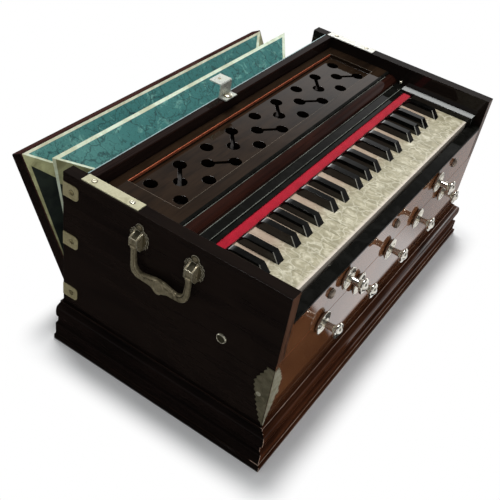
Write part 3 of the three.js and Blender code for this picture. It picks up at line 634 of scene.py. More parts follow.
# The bellows' side folds are painted dark green-black as the shade inside them.
SHADED_SIDE_PAPER = Hide("dark_side_paper", srgb(28, 36, 30), srgb(12, 18, 17), 0.6)
CREAM_HIDE = Hide("cream_leather", srgb(222, 234, 212), srgb(196, 200, 170))
BOARD_HIDE = Hide("board_leather", srgb(215, 215, 190), srgb(188, 184, 154))
TAN_HIDE = Hide("tan_leather", srgb(166, 166, 124), srgb(126, 124, 88))
CHROME = Plating("stop_chrome", srgb(222, 218, 208), srgb(168, 158, 140), 0.09, 0.15, 0.9)
ROSETTE_CHROME = Plating("rosette_chrome", srgb(226, 222, 210), srgb(168, 160, 140), 0.12, 0.2, 0.85)
OLD_NICKEL = Plating("worn_nickel", srgb(178, 166, 136), srgb(92, 84, 62), 0.2, 0.6, 0.6)
PANEL_NICKEL = Plating("housing_panel", srgb(66, 60, 38), srgb(44, 40, 26), 0.35, 0.6, 0.5)
# Pale rubbed nickel for screws, the pin and the washer's rim; on the ears' rounded edges it is a painted highlight.
BRIGHT_NICKEL = Plating("rubbed_nickel", srgb(232, 228, 208), srgb(190, 182, 156), 0.2, 0.4, 0.8)
PLATE_NICKEL = Plating("edge_plate_nickel", srgb(164, 154, 116), srgb(128, 120, 86), 0.4, 0.5, 0.35)
SCREW_NICKEL = Plating("brass_screw", srgb(196, 184, 138), srgb(120, 108, 74), 0.25, 0.6, 0.8)
STRAP_NICKEL = Plating("strap_nickel", srgb(184, 180, 150), srgb(152, 148, 118), 0.3, 0.5, 0.35)
# A near-white copy of the strap metal for the treble strap: a painted highlight.
LIT_STRAP = Plating("clean_strap", srgb(238, 238, 232), srgb(218, 216, 204), 0.25, 0.4, 0.2)
LATCH_METAL = Plating("latch_nickel", srgb(222, 226, 216), srgb(184, 188, 174), 0.22, 0.4, 0.6)
EAR_NICKEL = Plating("ear_plate_nickel", srgb(112, 102, 76), srgb(62, 56, 38), 0.25, 0.6, 0.6)
# Lit and shaded copies of one metal: the bracket's side leg is painted darker as shade, its front leg paler as light.
BRACKET_SHADED_SIDE = Plating("bracket_side", srgb(132, 124, 100), srgb(82, 78, 58), 0.3, 0.7, 0.55)
BRACKET_LIT_FRONT = Plating("bracket_front", srgb(196, 192, 172), srgb(156, 150, 124), 0.3, 0.7, 0.5)
BUTTON_BRONZE = Plating("button_bronze", srgb(158, 144, 130), srgb(104, 92, 80), 0.25, 0.5, 0.6)
# Painted shade: dark discs and rings under screws and buttons, in the front board's seam and on the floor of the bail's
# sunk line.
SHADE_SEAT = Hide("screw_seat", srgb(34, 28, 22), srgb(20, 16, 12), 0.7)
# A pale strip laid on each key cheek's top stands for the white reflection there: a painted sheen.
CHEEK_SHEEN = Plating("cheek_strip_metal", srgb(178, 180, 178), srgb(152, 154, 152), 0.35, 0.3, 0.2)
COPPER = Plating("copper_strip", srgb(206, 112, 74), srgb(132, 62, 40), 0.3, 0.5, 0.6)


@dataclass(frozen=True)
class Edges:
    """How a piece's edges are rounded.

    Attributes:
        width: The rounding's width in millimetres, or 0 for none.
        angle: The angle in degrees past which an edge is rounded or stays sharp.
        steps: The facets across the rounding.
        finish: The rounding's finish, where it isn't that of the faces.
    """

    width: float = 0.0
    angle: float = 30.0
    steps: int = 2
    finish: Optional[Finish] = None


class Shape:
    """A mesh in the making, in millimetres in the instrument's own frame."""

    def __init__(self) -> None:
        """Starts with nothing."""
        self.mesh = bmesh.new()
        self.finishes: list[Finish] = []

    def slot(self, finish: Finish) -> int:
        """The number of a finish among this shape's own."""
        if finish not in self.finishes:
            self.finishes.append(finish)
        return self.finishes.index(finish)

    def faces(self, corners: Sequence[Point], loops: Iterable[Sequence[int]], finish: Finish) -> "Shape":
        """Adds faces between new corners.

        Args:
            corners: The corners.
            loops: Each face as numbers of corners.
            finish: The faces' finish.

        Returns:
            This shape.
        """
        made = [self.mesh.verts.new(corner) for corner in corners]
        number = self.slot(finish)
        for loop in loops:
            face = self.mesh.faces.new([made[at] for at in loop])
            face.material_index = number
        return self

    def sheet(self, grid: Sequence[Sequence[Point]], finish: Callable[[int, int], Finish]) -> "Shape":
        """Adds a sheet of four-sided faces between rows of places.

        Args:
            grid: The rows.
            finish: Gives the finish of the face that follows a row's and a column's number.

        Returns:
            This shape.
        """
        for row, (near, far) in enumerate(zip(grid, grid[1:])):
            for column in range(len(near) - 1):
                corners = [near[column], near[column + 1], far[column + 1], far[column]]
                self.faces(corners, [(0, 1, 2, 3)], finish(row, column))
        return self

    def loft(self, rings: Sequence[Sequence[Point]], finish: Finish, closed: bool = False) -> "Shape":
        """Joins rings of equally many points, and caps the ends or closes the row on itself.

        Args:
            rings: The rings.
            finish: The finish.
            closed: Whether the last ring joins the first.

        Returns:
            This shape.
        """
        count = len(rings[0])
        corners = [point for ring in rings for point in ring]
        loops: list[list[int]] = []
        spans = len(rings) if closed else len(rings) - 1
        for ring in range(spans):
            start, after = ring * count, ((ring + 1) % len(rings)) * count
            for at in range(count):
                further = (at + 1) % count
                loops.append([start + at, start + further, after + further, after + at])
        if not closed:
            loops.append(list(reversed(range(count))))
            loops.append([len(corners) - count + at for at in range(count)])
        return self.faces(corners, loops, finish)

    def block(self, xs: Point, ys: Point, zs: Point, finish: Finish) -> "Shape":
        """Adds a block between two values on each axis."""
        ring = [(min(xs), min(ys)), (max(xs), min(ys)), (max(xs), max(ys)), (min(xs), max(ys))]
        return self.loft([[(x, y, z) for x, y in ring] for z in (min(zs), max(zs))], finish)

    def drawn(self, outline: Sequence[Point], axis: Axis, ends: Point, finish: Finish) -> "Shape":
        """Draws an outline out along an axis.

        Args:
            outline: Points on the two other axes, in their order x, y, z.
            axis: The axis.
            ends: Where it starts and ends.
            finish: The finish.

        Returns:
            This shape.
        """
        def placed(point: Point, depth: float) -> tuple[float, ...]:
            """Returns the point with the depth put in at the axis."""
            values = list(point)
            values.insert(axis.value, depth)
            return tuple(values)

        return self.loft([[placed(point, end) for point in outline] for end in (min(ends), max(ends))], finish)

    def turned(self, profile: Sequence[Point], direction: Point, place: Point, finish: Finish,
               sides: int = 32, ring: bool = False) -> "Shape":
        """Turns a profile about a line.

        Args:
            profile: Radius and distance along the line, point by point.
            direction: The line's direction.
            place: Where the line starts.
            finish: The finish.
            sides: The number of steps round it.
            ring: Whether the profile is closed, as for a ring or a tube.

        Returns:
            This shape.
        """
        turn = Vector((0, 0, 1)).rotation_difference(Vector(direction)).to_matrix()
        rings = []
        for radius, distance in profile:
            points = []
            for step in range(sides):
                angle = step / sides * math.tau
                local = Vector((max(radius, 0.01) * math.cos(angle), max(radius, 0.01) * math.sin(angle), distance))
                points.append(tuple(turn @ local + Vector(place)))
            rings.append(points)
        return self.loft(rings, finish, ring)

    def repaint(self, test: Callable[[Face], bool], finish: Finish) -> "Shape":
        """Gives some faces another finish.

        Args:
            test: Says whether a face is one of them.
            finish: The finish.

        Returns:
            This shape.
        """
        bmesh.ops.remove_doubles(self.mesh, verts=self.mesh.verts, dist=0.001)
        bmesh.ops.recalc_face_normals(self.mesh, faces=self.mesh.faces)
        number = self.slot(finish)
        for face in self.mesh.faces:
            if test(face):
                face.material_index = number
        return self

    def data(self, name: str, dressed: bool = True, upward: bool = False) -> bpy.types.Mesh:
        """Turns the shape into a plain mesh in metres and frees it.

        Args:
            name: The mesh's name.
            dressed: Whether it takes its finishes along.
            upward: Whether its faces are turned to look up.

        Returns:
            The mesh.
        """
        bmesh.ops.recalc_face_normals(self.mesh, faces=self.mesh.faces)
        if upward and sum(face.normal.z * face.calc_area() for face in self.mesh.faces) < 0:
            bmesh.ops.reverse_faces(self.mesh, faces=self.mesh.faces)
        data = plain(name, self.mesh, self.finishes if dressed else ())
        data.transform(Matrix.Scale(METRES, 4))
        return data

    def piece(self, name: str, slot: str, edges: Edges = Edges(), replaces: Sequence[str] = (),
              body: str = Body.CASE.value) -> Thing:
        """Finishes the shape as a piece of the instrument.

        Args:
            name: The piece's name.
            slot: The record's material slot; it is not used.
            edges: How its edges are rounded.
            replaces: The frame's nodes that it stands for.
            body: The body that it rides on.

        Returns:
            The piece.
        """
        return finished(name, self.data(name), edges, replaces, body)


def plain(name: str, mesh: bmesh.types.BMesh, finishes: Sequence[Finish]) -> bpy.types.Mesh:
    """Turns a mesh in the making into a plain one with its finishes, and frees it."""
    data = bpy.data.meshes.new(name)
    mesh.to_mesh(data)
    mesh.free()
    for finish in finishes:
        data.materials.append(finish.material)
    return data


def baked(thing: Thing) -> Thing:
    """Puts an object's modifiers into its mesh.

    Args:
        thing: The object.

    Returns:
        The same object, with a plain mesh and no modifiers.
    """
    depsgraph = bpy.context.evaluated_depsgraph_get()
    mesh = bpy.data.meshes.new_from_object(thing.evaluated_get(depsgraph), preserve_all_data_layers=True,
                                           depsgraph=depsgraph)
    thing.modifiers.clear()
    thing.data = mesh
    mesh.name = thing.name
    return thing


def finished(name: str, data: bpy.types.Mesh, edges: Edges, replaces: Sequence[str], body: str) -> Thing:
    """Rounds a mesh's edges and puts it on its body.

    Args:
        name: The piece's name.
        data: The mesh, in metres.
        edges: How its edges are rounded.
        replaces: The frame's nodes that it stands for.
        body: The body that it rides on.

    Returns:
        The piece.
    """
    thing = linked(name, data)
    data.shade_smooth()
    if edges.width:
        rounding = thing.modifiers.new("rounding", "BEVEL")
        rounding.width, rounding.segments = edges.width * METRES, edges.steps
        rounding.limit_method, rounding.angle_limit = "ANGLE", math.radians(edges.angle)
        rounding.use_clamp_overlap = rounding.harden_normals = True
        if edges.finish:
            rounding.material = len(data.materials)
            data.materials.append(edges.finish.material)
        baked(thing)
    else:
        data.set_sharp_from_angle(angle=math.radians(edges.angle))
    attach(thing, body)
    if replaces:
        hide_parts(*replaces)
    LOG.info("%s: %d faces on %s", name, len(thing.data.polygons), body)
    return thing


@dataclass
class Refined:
    """A copy of a frame node with merged faces, rounded edges and its finishes by place."""

    node: str
    frame: dict

    def mesh(self, cuts: Sequence[Pair]) -> bmesh.types.BMesh:
        """Merges the node's loose triangles into plain faces.

        Args:
            cuts: Planes that split faces, each a place and a direction in metres.

        Returns:
            The merged mesh, in metres.
        """
        merged = bmesh.new()
        merged.from_mesh(self.frame["nodes"][self.node].data)
        bmesh.ops.remove_doubles(merged, verts=merged.verts, dist=1e-6)
        bmesh.ops.dissolve_limit(merged, angle_limit=math.radians(0.6), verts=merged.verts, edges=merged.edges)
        for place, direction in cuts:
            everything = [*merged.verts, *merged.edges, *merged.faces]
            bmesh.ops.bisect_plane(merged, geom=everything, plane_co=place, plane_no=direction, dist=1e-6)
        return merged

    def piece(self, name: str, slot: str, finishes: Sequence[Finish], choose: Callable[[Face], int] = lambda face: 0,
              edges: Edges = Edges(0.5), cuts: Sequence[Pair] = (),
              bend: Callable[[Vector], Vector] = lambda place: place, body: str = Body.CASE.value) -> Thing:
        """Finishes the copy as a piece.

        Args:
            name: The piece's name.
            slot: The record's material slot; it is not used.
            finishes: Its finishes.
            choose: Gives the number of a face's finish.
            edges: How its edges are rounded.
            cuts: Planes that split faces, each a place and a direction in metres.
            bend: Gives where a corner is moved to, in metres.
            body: The body that it rides on.

        Returns:
            The piece.
        """
        merged = self.mesh(cuts)
        for vert in merged.verts:
            vert.co = bend(vert.co)
        for face in merged.faces:
            face.material_index = choose(face)
        data = plain(name, merged, finishes)
        stale = data.attributes.get("custom_normal")
        if stale:
            data.attributes.remove(stale)
        return finished(name, data, edges, [self.node], body)


@dataclass
class Studio:
    """The floor, the light and the camera at the photograph's angle, in metres."""

    place: Point = (-0.80128, -0.34570, 0.75689)
    turn_degrees: Point = (50.12395, -8.44312, -56.29454)
    lens: float = 56.587
    sensor: float = 36.0
    clip: Span = (0.02, 60.0)
    floor_half: float = 12.0
    floor_grey: Colour = (0.92, 0.92, 0.92)
    foot_half: Span = (0.2995, 0.1570)
    clear_floor: Span = (0.008, 0.05)
    soft_colour: Colour = (0.97, 0.985, 1.0)
    soft_light: float = 0.45
    room_light: float = 4.0
    dim_share: float = 0.04
    bright_side: Span = (-0.5, -0.1)
    ceiling: Table = ((0.0, 1.0), (0.16, 1.0), (0.3, 0.25), (0.45, 0.18), (0.53, 0.055), (0.61, 0.022), (1.0, 0.008))
    aim: Point = (0.0, 0.0, 0.12)
    lamps: tuple[tuple[str, Point, float, float], ...] = (
        ("key_lamp", (0.35, 0.55, 2.3), 0.85, 40.0),
        ("fill_lamp", (-1.5, -1.5, 1.4), 1.4, 6.0),
    )
    card_height: float = 0.001
    card_black: Colour = (0.004, 0.004, 0.004)
    cards: tuple[tuple[str, Table], ...] = (
        ("left_card", ((-1.1, -0.7), (-0.2997, -0.1567), (-0.2997, 0.5), (-1.1, 0.9))),
        ("front_card", ((-0.5, -0.36), (1.0, -0.36), (1.0, -0.1567), (-0.5, -0.1567))),
        ("rear_card", ((-0.5, 0.1576), (0.5, 0.1576), (0.5, 0.24), (-0.5, 0.24))),
        ("right_card", ((0.2997, -0.1567), (0.34, -0.1567), (0.34, 0.1576), (0.2997, 0.1576))),
    )
    foot_shade: Span = (-0.1705, -0.1655)
    left_shade: Span = (0.148, 0.166)
    left_slant: float = 0.645
    right_shade: Span = (0.2, 0.3)
    right_depth: float = 0.5

    def camera(self) -> None:
        """Makes the camera."""
        data = bpy.data.cameras.new("camera")
        data.lens, data.sensor_width, data.sensor_fit = self.lens, self.sensor, "HORIZONTAL"
        data.clip_start, data.clip_end = self.clip
        camera = linked("camera", data)
        camera.location = self.place
        camera.rotation_euler = [math.radians(angle) for angle in self.turn_degrees]
        bpy.context.scene.camera = camera

    def seen(self, tree: Tree) -> Socket:
        """Gives 1 to the rays of the camera, of gloss and of glass, and 0 to the others."""
        rays = tree.node("ShaderNodeLightPath").outputs
        bright = tree.math("MAXIMUM", rays["Is Camera Ray"], rays["Is Glossy Ray"])
        return tree.math("MAXIMUM", bright, rays["Is Transmission Ray"])

    def away_from_foot(self, tree: Tree) -> Socket:
        """Gives how far a place on the floor is from the instrument's foot."""
        size = tree.vector("ABSOLUTE", tree.node("ShaderNodeTexCoord").outputs["Object"])
        outside = tree.vector("MAXIMUM", tree.vector("SUBTRACT", size, (*self.foot_half, 0)))
        return tree.vector("LENGTH", outside)

    def floor(self) -> None:
        """Lays a white floor that still takes the instrument's shadow."""
        half = self.floor_half
        floor = linked("floor", flat("floor", [(-half, -half), (half, -half), (half, half), (-half, half)], 0))
        material = bpy.data.materials.new("floor_white")
        material.use_nodes = True
        tree = Tree(material.node_tree)
        lit = tree.node("ShaderNodeBsdfDiffuse", Color=self.floor_grey)
        glow = tree.node("ShaderNodeEmission", Color=(1, 1, 1))
        mirrored = tree.node("ShaderNodeLightPath").outputs["Is Glossy Ray"]
        clear = tree.math("MAXIMUM", tree.rise(self.away_from_foot(tree), *self.clear_floor), mirrored)
        share = tree.math("MULTIPLY", self.seen(tree), clear)
        tree.node("ShaderNodeOutputMaterial", Surface=tree.veil(share, lit, glow).outputs[0])
        floor.data.materials.append(material)

    def sky(self) -> None:
        """Gives soft light from all round, a white background and a bright rim of the room for gloss to mirror."""
        world = bpy.data.worlds.new("studio")
        world.use_nodes = True
        tree = Tree(world.node_tree)
        sky = tree.node("ShaderNodeBackground", Color=self.soft_colour, Strength=self.soft_light)
        white = tree.node("ShaderNodeBackground", Color=(1, 1, 1), Strength=1.0)
        way = tree.node("ShaderNodeSeparateXYZ", Vector=tree.node("ShaderNodeTexCoord").outputs["Generated"]).outputs
        most = self.room_light ** 0.5
        sides = [tree.rise(way[axis], *self.bright_side, most * self.dim_share, most) for axis in ("X", "Y")]
        room = tree.node("ShaderNodeBackground", Color=tree.ramp(way["Z"], self.ceiling),
                         Strength=tree.math("MULTIPLY", *sides))
        rays = tree.node("ShaderNodeLightPath").outputs
        for name, shader in (("Is Glossy Ray", room), ("Is Camera Ray", white), ("Is Transmission Ray", white)):
            sky = tree.veil(rays[name], sky, shader)
        tree.node("ShaderNodeOutputWorld", Surface=sky.outputs[0])
        bpy.context.scene.world = world

    def lamp(self, name: str, place: Point, size: float, power: float) -> None:
        """Hangs a soft square lamp that faces the instrument.

        Args:
            name: The lamp's name.
            place: Where it hangs.
            size: Its side.
            power: Its power in watts.
        """
        data = bpy.data.lights.new(name, "AREA")
        data.size, data.energy = size, power
        lamp = linked(name, data)
        lamp.location = place
        lamp.rotation_euler = (Vector(self.aim) - Vector(place)).to_track_quat("-Z", "Y").to_euler()

    def card(self, name: str, corners: Sequence[Point], mask: Optional[Callable] = None) -> None:
        """Lays a black card that only reflections see.

        Args:
            name: The card's name.
            corners: Its corners.
            mask: Gives the socket of how black it is at a place, or nothing where it is black all over.
        """
        card = linked(name, flat(name, corners, self.card_height))
        graph = Graph(name)
        graph.surface(Base_Color=self.card_black, Roughness=1.0, Specular_IOR_Level=0.0)
        if mask:
            graph.surface(Alpha=mask(graph))
        card.data.materials.append(graph.material)
        card.visible_camera = card.visible_diffuse = card.visible_shadow = card.visible_transmission = False

    def front_shade(self, graph: Graph) -> Socket:
        """Shades the floor before the front board: at its foot, to its left and faintly at its right.

        Args:
            graph: The card's graph.

        Returns:
            The socket of how black the card is.
        """
        split = graph.node("ShaderNodeSeparateXYZ", Vector=graph.place)
        across, away = split.outputs["X"], split.outputs["Y"]
        slanted = graph.math("MULTIPLY_ADD", away, self.left_slant, across)
        left = graph.rise(graph.math("MULTIPLY", slanted, -1.0), *self.left_shade)
        right = graph.rise(across, *self.right_shade, most=self.right_depth)
        return graph.math("MAXIMUM", graph.math("MAXIMUM", graph.rise(away, *self.foot_shade), left), right)

    def build(self) -> None:
        """Sets the whole studio up."""
        bpy.context.scene.view_settings.view_transform = "Standard"
        self.camera()
        self.floor()
        self.sky()
        for lamp in self.lamps:
            self.lamp(*lamp)
        for name, corners in self.cards:
            self.card(name, corners, self.front_shade if name == "front_card" else None)


def scatter(name: str, source: Thing, spots: Sequence[Pair], finish: Finish, seed: int,
            size: float = 1.0, body: str = Body.CASE.value) -> None:
    """Repeats a small mesh at spots, each turned to its own direction and spun by chance, as one piece.

    Args:
        name: The piece's name.
        source: The object to repeat, standing on z = 0. It is used up.
        spots: Where each copy stands, in millimetres, and which way it faces.
        finish: The copies' finish.
        seed: The seed of the spin.
        size: The copies' scale.
        body: The body that the piece rides on.
    """
    group = bpy.data.node_groups.new(name, "GeometryNodeTree")
    kinds = {"Geometry": "NodeSocketGeometry", "Size": "NodeSocketFloat", "Seed": "NodeSocketInt"}
    sockets = {label: group.interface.new_socket(label, in_out="INPUT", socket_type=kind)
               for label, kind in kinds.items()}
    group.interface.new_socket("Geometry", in_out="OUTPUT", socket_type=kinds["Geometry"])
    tree = Tree(group)
    entry = tree.node("NodeGroupInput").outputs
    facing = tree.node("GeometryNodeInputNamedAttribute", {"data_type": "FLOAT_VECTOR"}, Name="facing")
    turn = tree.node("FunctionNodeAlignEulerToVector", {"axis": "Z"}, Vector=facing.outputs["Attribute"])
    chance = tree.node("FunctionNodeRandomValue", {"data_type": "FLOAT"}, Seed=entry["Seed"])
    for socket, value in zip(chance.inputs[2:4], (0.0, math.pi)):
        tree.feed(socket, value)
    spin = tree.node("ShaderNodeCombineXYZ", Z=chance.outputs[1])
    both = tree.node("FunctionNodeRotateEuler", {"space": "LOCAL"}, Rotation=turn.outputs[0],
                     Rotate_By=spin.outputs[0])
    info = tree.node("GeometryNodeObjectInfo", Object=source, As_Instance=True)
    put = tree.node("GeometryNodeInstanceOnPoints", Points=entry["Geometry"], Instance=info.outputs["Geometry"],
                    Rotation=both.outputs[0], Scale=entry["Size"])
    real = tree.node("GeometryNodeRealizeInstances", Geometry=put.outputs[0])
    dress = tree.node("GeometryNodeSetMaterial", Geometry=real.outputs[0], Material=finish.material)
    tree.node("NodeGroupOutput", Geometry=dress.outputs[0])
    data = bpy.data.meshes.new(name)
    data.from_pydata([tuple(value * METRES for value in place) for place, _ in spots], [], [])
    ways = data.attributes.new("facing", "FLOAT_VECTOR", "POINT")
    for item, (_, direction) in zip(ways.data, spots):
        item.vector = direction
    thing = linked(name, data)
    modifier = thing.modifiers.new("repeat", "NODES")
    modifier.node_group = group
    modifier[sockets["Size"].identifier] = size
    modifier[sockets["Seed"].identifier] = seed
    baked(thing)
    thing.data.set_sharp_from_angle(angle=math.radians(SMALL_PART_SHARP))
    bpy.data.objects.remove(source)
    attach(thing, body)
    LOG.info("%s: %d copies on %s", name, len(spots), body)


@dataclass
class Screws:
    """Slotted screw heads that stand on a face, repeated in groups."""

    radius: float = 3.0
    height: float = 0.75
    slot_width: float = 0.8
    slot_depth: float = 0.5
    sides: int = 24
    dome: Table = ((1.0, 0.0), (1.0, 0.45), (0.82, 0.85), (0.4, 1.0))
    spots: dict[str, list[Pair]] = field(default_factory=dict)

    def head(self) -> Thing:
        """Makes one domed and slotted head on z = 0."""
        shape = Shape()
        half, count = self.slot_width / 2, self.sides // 2
        for side in (-1, 1):
            rings = []
            for share, up in self.dome:
                radius = self.radius * share
                start = math.asin(min(1.0, half / radius))
                points = []
                for step in range(count + 1):
                    angle = start + (math.pi - 2 * start) * step / count
                    points.append((radius * math.cos(angle), side * radius * math.sin(angle), up * self.height))
                rings.append(points if side > 0 else list(reversed(points)))
            shape.loft(rings, CHROME)
        shape.block((-self.radius * 0.9, self.radius * 0.9), (-half, half), (0, self.height - self.slot_depth), CHROME)
        return linked("screw_head", shape.data("screw_head", dressed=False))

    def add(self, group: str, place: Point, direction: Point) -> None:
        """Notes a screw for one group of them."""
        self.spots.setdefault(group, []).append((place, direction))

    def build(self, groups: dict[str, tuple[Finish, float, Body]]) -> None:
        """Makes each group of screws one piece.

        Args:
            groups: Each group's finish, scale and body.
        """
        for number, (group, spots) in enumerate(sorted(self.spots.items())):
            finish, size, body = groups[group]
            scatter(group, self.head(), spots, finish, number, size, body.value)


@dataclass
class Case:
    """The wooden case: base, end boards, front board, slip, back board and reed board.

    A pair of spans gives a block's ends along y and z.
    """

    frame: dict
    screws: Screws
    half: float = 284.0
    inner: float = 268.0
    front: float = -141.0
    back: float = 155.5
    top: float = 252.0
    foot: float = 58.5
    keyboard_half: float = 253.0
    outset: float = 15.5
    base_back: float = 157.4
    tray_wall: float = 22.0
    tray_back: float = 40.0
    tray_floor: float = 8.0
    seam: float = 155.5
    board: float = 14.0
    upper_top: float = 206.0
    gap: float = 0.3
    groove_height: float = 246.0
    groove: float = 0.8
    groove_depth: float = 0.35
    cheek_blocks: tuple[Pair, ...] = (
        ((-129.0, -12.8), (210.8, 224.5)), ((-125.2, -12.8), (194.8, 210.8)), ((-12.8, 123.0), (194.8, 220.3)))
    cheek_strip: Pair = ((-128.2, -13.4), (224.3, 224.9))
    cleat: Pair = ((-85.0, 103.3), (165.7, 179.7))
    rail_edge: Pair = ((133.6, 134.9), (251.4, 252.25))
    strap: Span = (52.0, 131.0)
    strap_thick: float = 1.5
    strap_screws: Span = (118.0, 65.0)
    plate_heights: tuple[float, ...] = (230.5, 160.5, 80.0)
    plate_thick: float = 1.2
    # A thin dark disc under each screw as painted shade: radius and height.
    seat: Table = ((0, 0), (3.5, 0), (3.5, 0.06), (0, 0.06))
    washer: Span = (-72.0, 150.0)
    bracket_thick: float = 1.4
    leg_width: float = 21.0
    leg_height: float = 90.0
    teeth: int = 13
    bite: float = 0.11
    side_leaf: Table = (
        (0.0, 0.06), (0.08, 0.26), (0.3, 0.6), (0.45, 0.78), (0.58, 0.94), (0.7, 1.0), (0.8, 0.84), (0.9, 0.6),
        (0.96, 0.5), (1.0, 0.46))
    front_leaf: Table = (
        (0.0, 0.05), (0.1, 0.12), (0.3, 0.54), (0.5, 0.8), (0.7, 1.0), (0.85, 0.7), (1.0, 0.37))

    def base_profile(self) -> list[Span]:
        """The moulding from the table up: outset share and height share."""
        bead = []
        for step in range(9):
            angle = -math.pi * 0.42 + step / 8 * math.pi * 0.86
            bead.append((0.5 + 0.265 * max(0.0, math.cos(angle)) ** 0.8, 0.765 + 0.165 * math.sin(angle)))
        return [(0.95, 0), (1, 0.015), (1, 0.125), (0.97, 0.137), (0.8, 0.14), (0.8, 0.43), (0.77, 0.447),
                (0.56, 0.455), (0.54, 0.462), (0.5, 0.59), (0.53, 0.6), *bead, (0.44, 0.935), (0.42, 0.945),
                (0.27, 0.95), (0.25, 0.958), (0.24, 1)]

    def base(self) -> None:
        """Builds the tray with its three mouldings, mitred at the corners."""

        def ring(out: float, back: float, z: float) -> list[Point]:
            """Returns a rectangle at a height, some way out from the case."""
            side, front = self.half + out, self.front - out
            return [(-side, front, z), (side, front, z), (side, back, z), (-side, back, z)]

        rings = [ring(out * self.outset, self.base_back, up * self.foot) for out, up in self.base_profile()]
        rings += [ring(-self.tray_wall, self.base_back - self.tray_back, z) for z in (self.foot, self.tray_floor)]
        shape = Shape().loft(rings, MOULDING_WOOD)
        # Painted shade: the end faces take the darker copy of the varnish.
        shape.repaint(lambda face: abs(face.normal.y) < 0.05 and abs(face.calc_center_median().x) > 1, MOULDING_SHADED_END)
        shape.repaint(lambda face: face.calc_center_median().y > 60 and abs(face.calc_center_median().x) < 1,
                      RAIL_WOOD)
        # The rounded edges take pale lines as painted highlights.
        shape.piece("base_mouldings", "dark_varnish", Edges(0.3, 60, finish=BASE_EDGE_HIGHLIGHT), ["base_plinth"])

    def end_board(self, side: int) -> None:
        """Builds an end board with its cheek and cleat.

        Args:
            side: -1 for the bass end and 1 for the treble end.
        """
        word, gap = ENDS[side], self.gap
        outer, inner, mitre = side * self.half, side * self.inner, gap * math.sqrt(2)
        low, high = self.groove_height - self.groove / 2, self.groove_height + self.groove / 2
        cut = outer - side * self.groove_depth

        def ring(z: float, face: float, front: float, rear: float) -> list[Point]:
            """Returns the board's section at a height."""
            return [(face, front, z), (face, self.back, z), (inner, self.back, z), (inner, rear, z)]

        mitred, square = (self.front + mitre, self.front + 16 + mitre), (self.front, self.front)
        rings = [ring(z, outer, *mitred) for z in (self.foot + gap, self.seam + gap)]
        rings += [ring(z, face, *square) for z, face in (
            (self.seam + gap, outer), (low, outer), (low + 0.1, cut), (high - 0.1, cut), (high, outer),
            (self.top, outer))]
        shape = Shape().loft(rings, END_WOOD).repaint(lambda face: face.normal.y < -0.9, END_FRONT)
        shape.block((inner + side * gap, inner - side * 10), *self.cleat, REED_WOOD)
        shape.piece(f"{word}_end_wood", "dark_varnish", Edges(0.4, 40), [f"{word}_end_board"])
        edge = side * (self.keyboard_half + 0.5)
        cheek = Shape()
        for ys, zs in self.cheek_blocks:
            cheek.block((inner, edge), ys, zs, BLACK_LACQUER)
        cheek.piece(f"{word}_key_cheek", "black_lacquer", Edges(0.7))
        # The pale strip on the cheek's top is a painted reflection.
        strip = Shape().block((inner - side * 0.6, edge + side * 0.9), *self.cheek_strip, CHEEK_SHEEN)
        strip.piece(f"{word}_cheek_strip", "nickel", Edges(0.25))

    def leg(self, corner: float, leaf: Sequence[Point]) -> list[Point]:
        """Gives the outline of one saw-edged leg of the bracket, away from a corner.

        Args:
            corner: The corner's place across the leg.
            leaf: How wide the leg is at shares of its height.

        Returns:
            The outline's places across the leg and up.
        """
        bottom = self.foot + 2 * self.gap
        points = [(corner, bottom), (corner, bottom + self.leg_height)]
        for tooth in range(self.teeth):
            for lag, bite in ((0, 0), (0.4, self.bite)):
                up = 1 - (tooth + lag) / self.teeth
                reach = max(0.04, read_off(leaf, up) - bite) * self.leg_width
                points.append((corner + reach, bottom + up * self.leg_height))
        return points

    def bracket(self) -> None:
        """Builds the two legs of the saw-edged corner bracket."""
        out_x, out_y = -self.half - self.bracket_thick, self.front - self.bracket_thick
        # The side leg takes the shaded copy and the front leg the lit copy.
        shape = Shape().drawn(self.leg(self.front + 0.42, self.side_leaf), Axis.X, (-self.half, out_x), BRACKET_SHADED_SIDE)
        outline = self.leg(-self.half, self.front_leaf)
        shape.loft([[(x, y, z) for x, z in outline] for y in (out_y, self.front)], BRACKET_LIT_FRONT)
        shape.piece("corner_bracket", "nickel", Edges(0.2, 40, 1))
        self.screws.add("bracket_screws", (out_x, -128.8, 104.8), (-1, 0, 0))
        self.screws.add("bracket_screws", (-268.5, out_y, 103.5), (0, -1, 0))

    def plate_outline(self, z: float) -> list[Point]:
        """Gives an edge plate's outline with its two rounded corners, by its middle's height."""
        outline = [(self.back - 0.3, z - 9.5), (self.back - 0.3, z + 9.5)]
        for lift, start in ((4.0, math.pi / 2), (-4.0, math.pi)):
            for step in range(9):
                angle = start + step / 8 * math.pi / 2
                outline.append((self.back - 17.5 + 5.5 * math.cos(angle), z + lift + 5.5 * math.sin(angle)))
        return outline

    def end_fittings(self, side: int) -> None:
        """Builds the strap plate, edge plates and cup washer of one end.

        Args:
            side: -1 for the bass end and 1 for the treble end.
        """
        word, outer, out = ENDS[side], side * self.half, (side, 0, 0)
        start, end = outer - side * 1.7, outer - side * 15.7
        top = self.top + self.strap_thick
        # The treble strap takes the paler copy as a painted highlight.
        strap = Shape().block((start, end), self.strap, (self.top, top), STRAP_NICKEL if side < 0 else LIT_STRAP)
        strap.piece(f"{word}_strap_plate", "nickel", Edges(0.4))
        seats, plates = Shape(), Shape()

        def screw(group: str, place: Point, direction: Point) -> None:
            """Lays a dark disc under the screw as painted shade, and notes the screw on it."""
            seats.turned(self.seat, direction, place, SHADE_SEAT, 24)
            self.screws.add(group, place, direction)

        for y in self.strap_screws:
            screw("strap_screws", ((start + end) / 2, y, top), (0, 0, 1))
        plate_face = outer + side * self.plate_thick
        for z in self.plate_heights:
            plates.drawn(self.plate_outline(z), Axis.X, (outer, plate_face), PLATE_NICKEL)
            screw("edge_screws", (plate_face, self.back - 13.5, z), out)
        plates.piece(f"{word}_edge_plates", "nickel", Edges(0.4, 40))
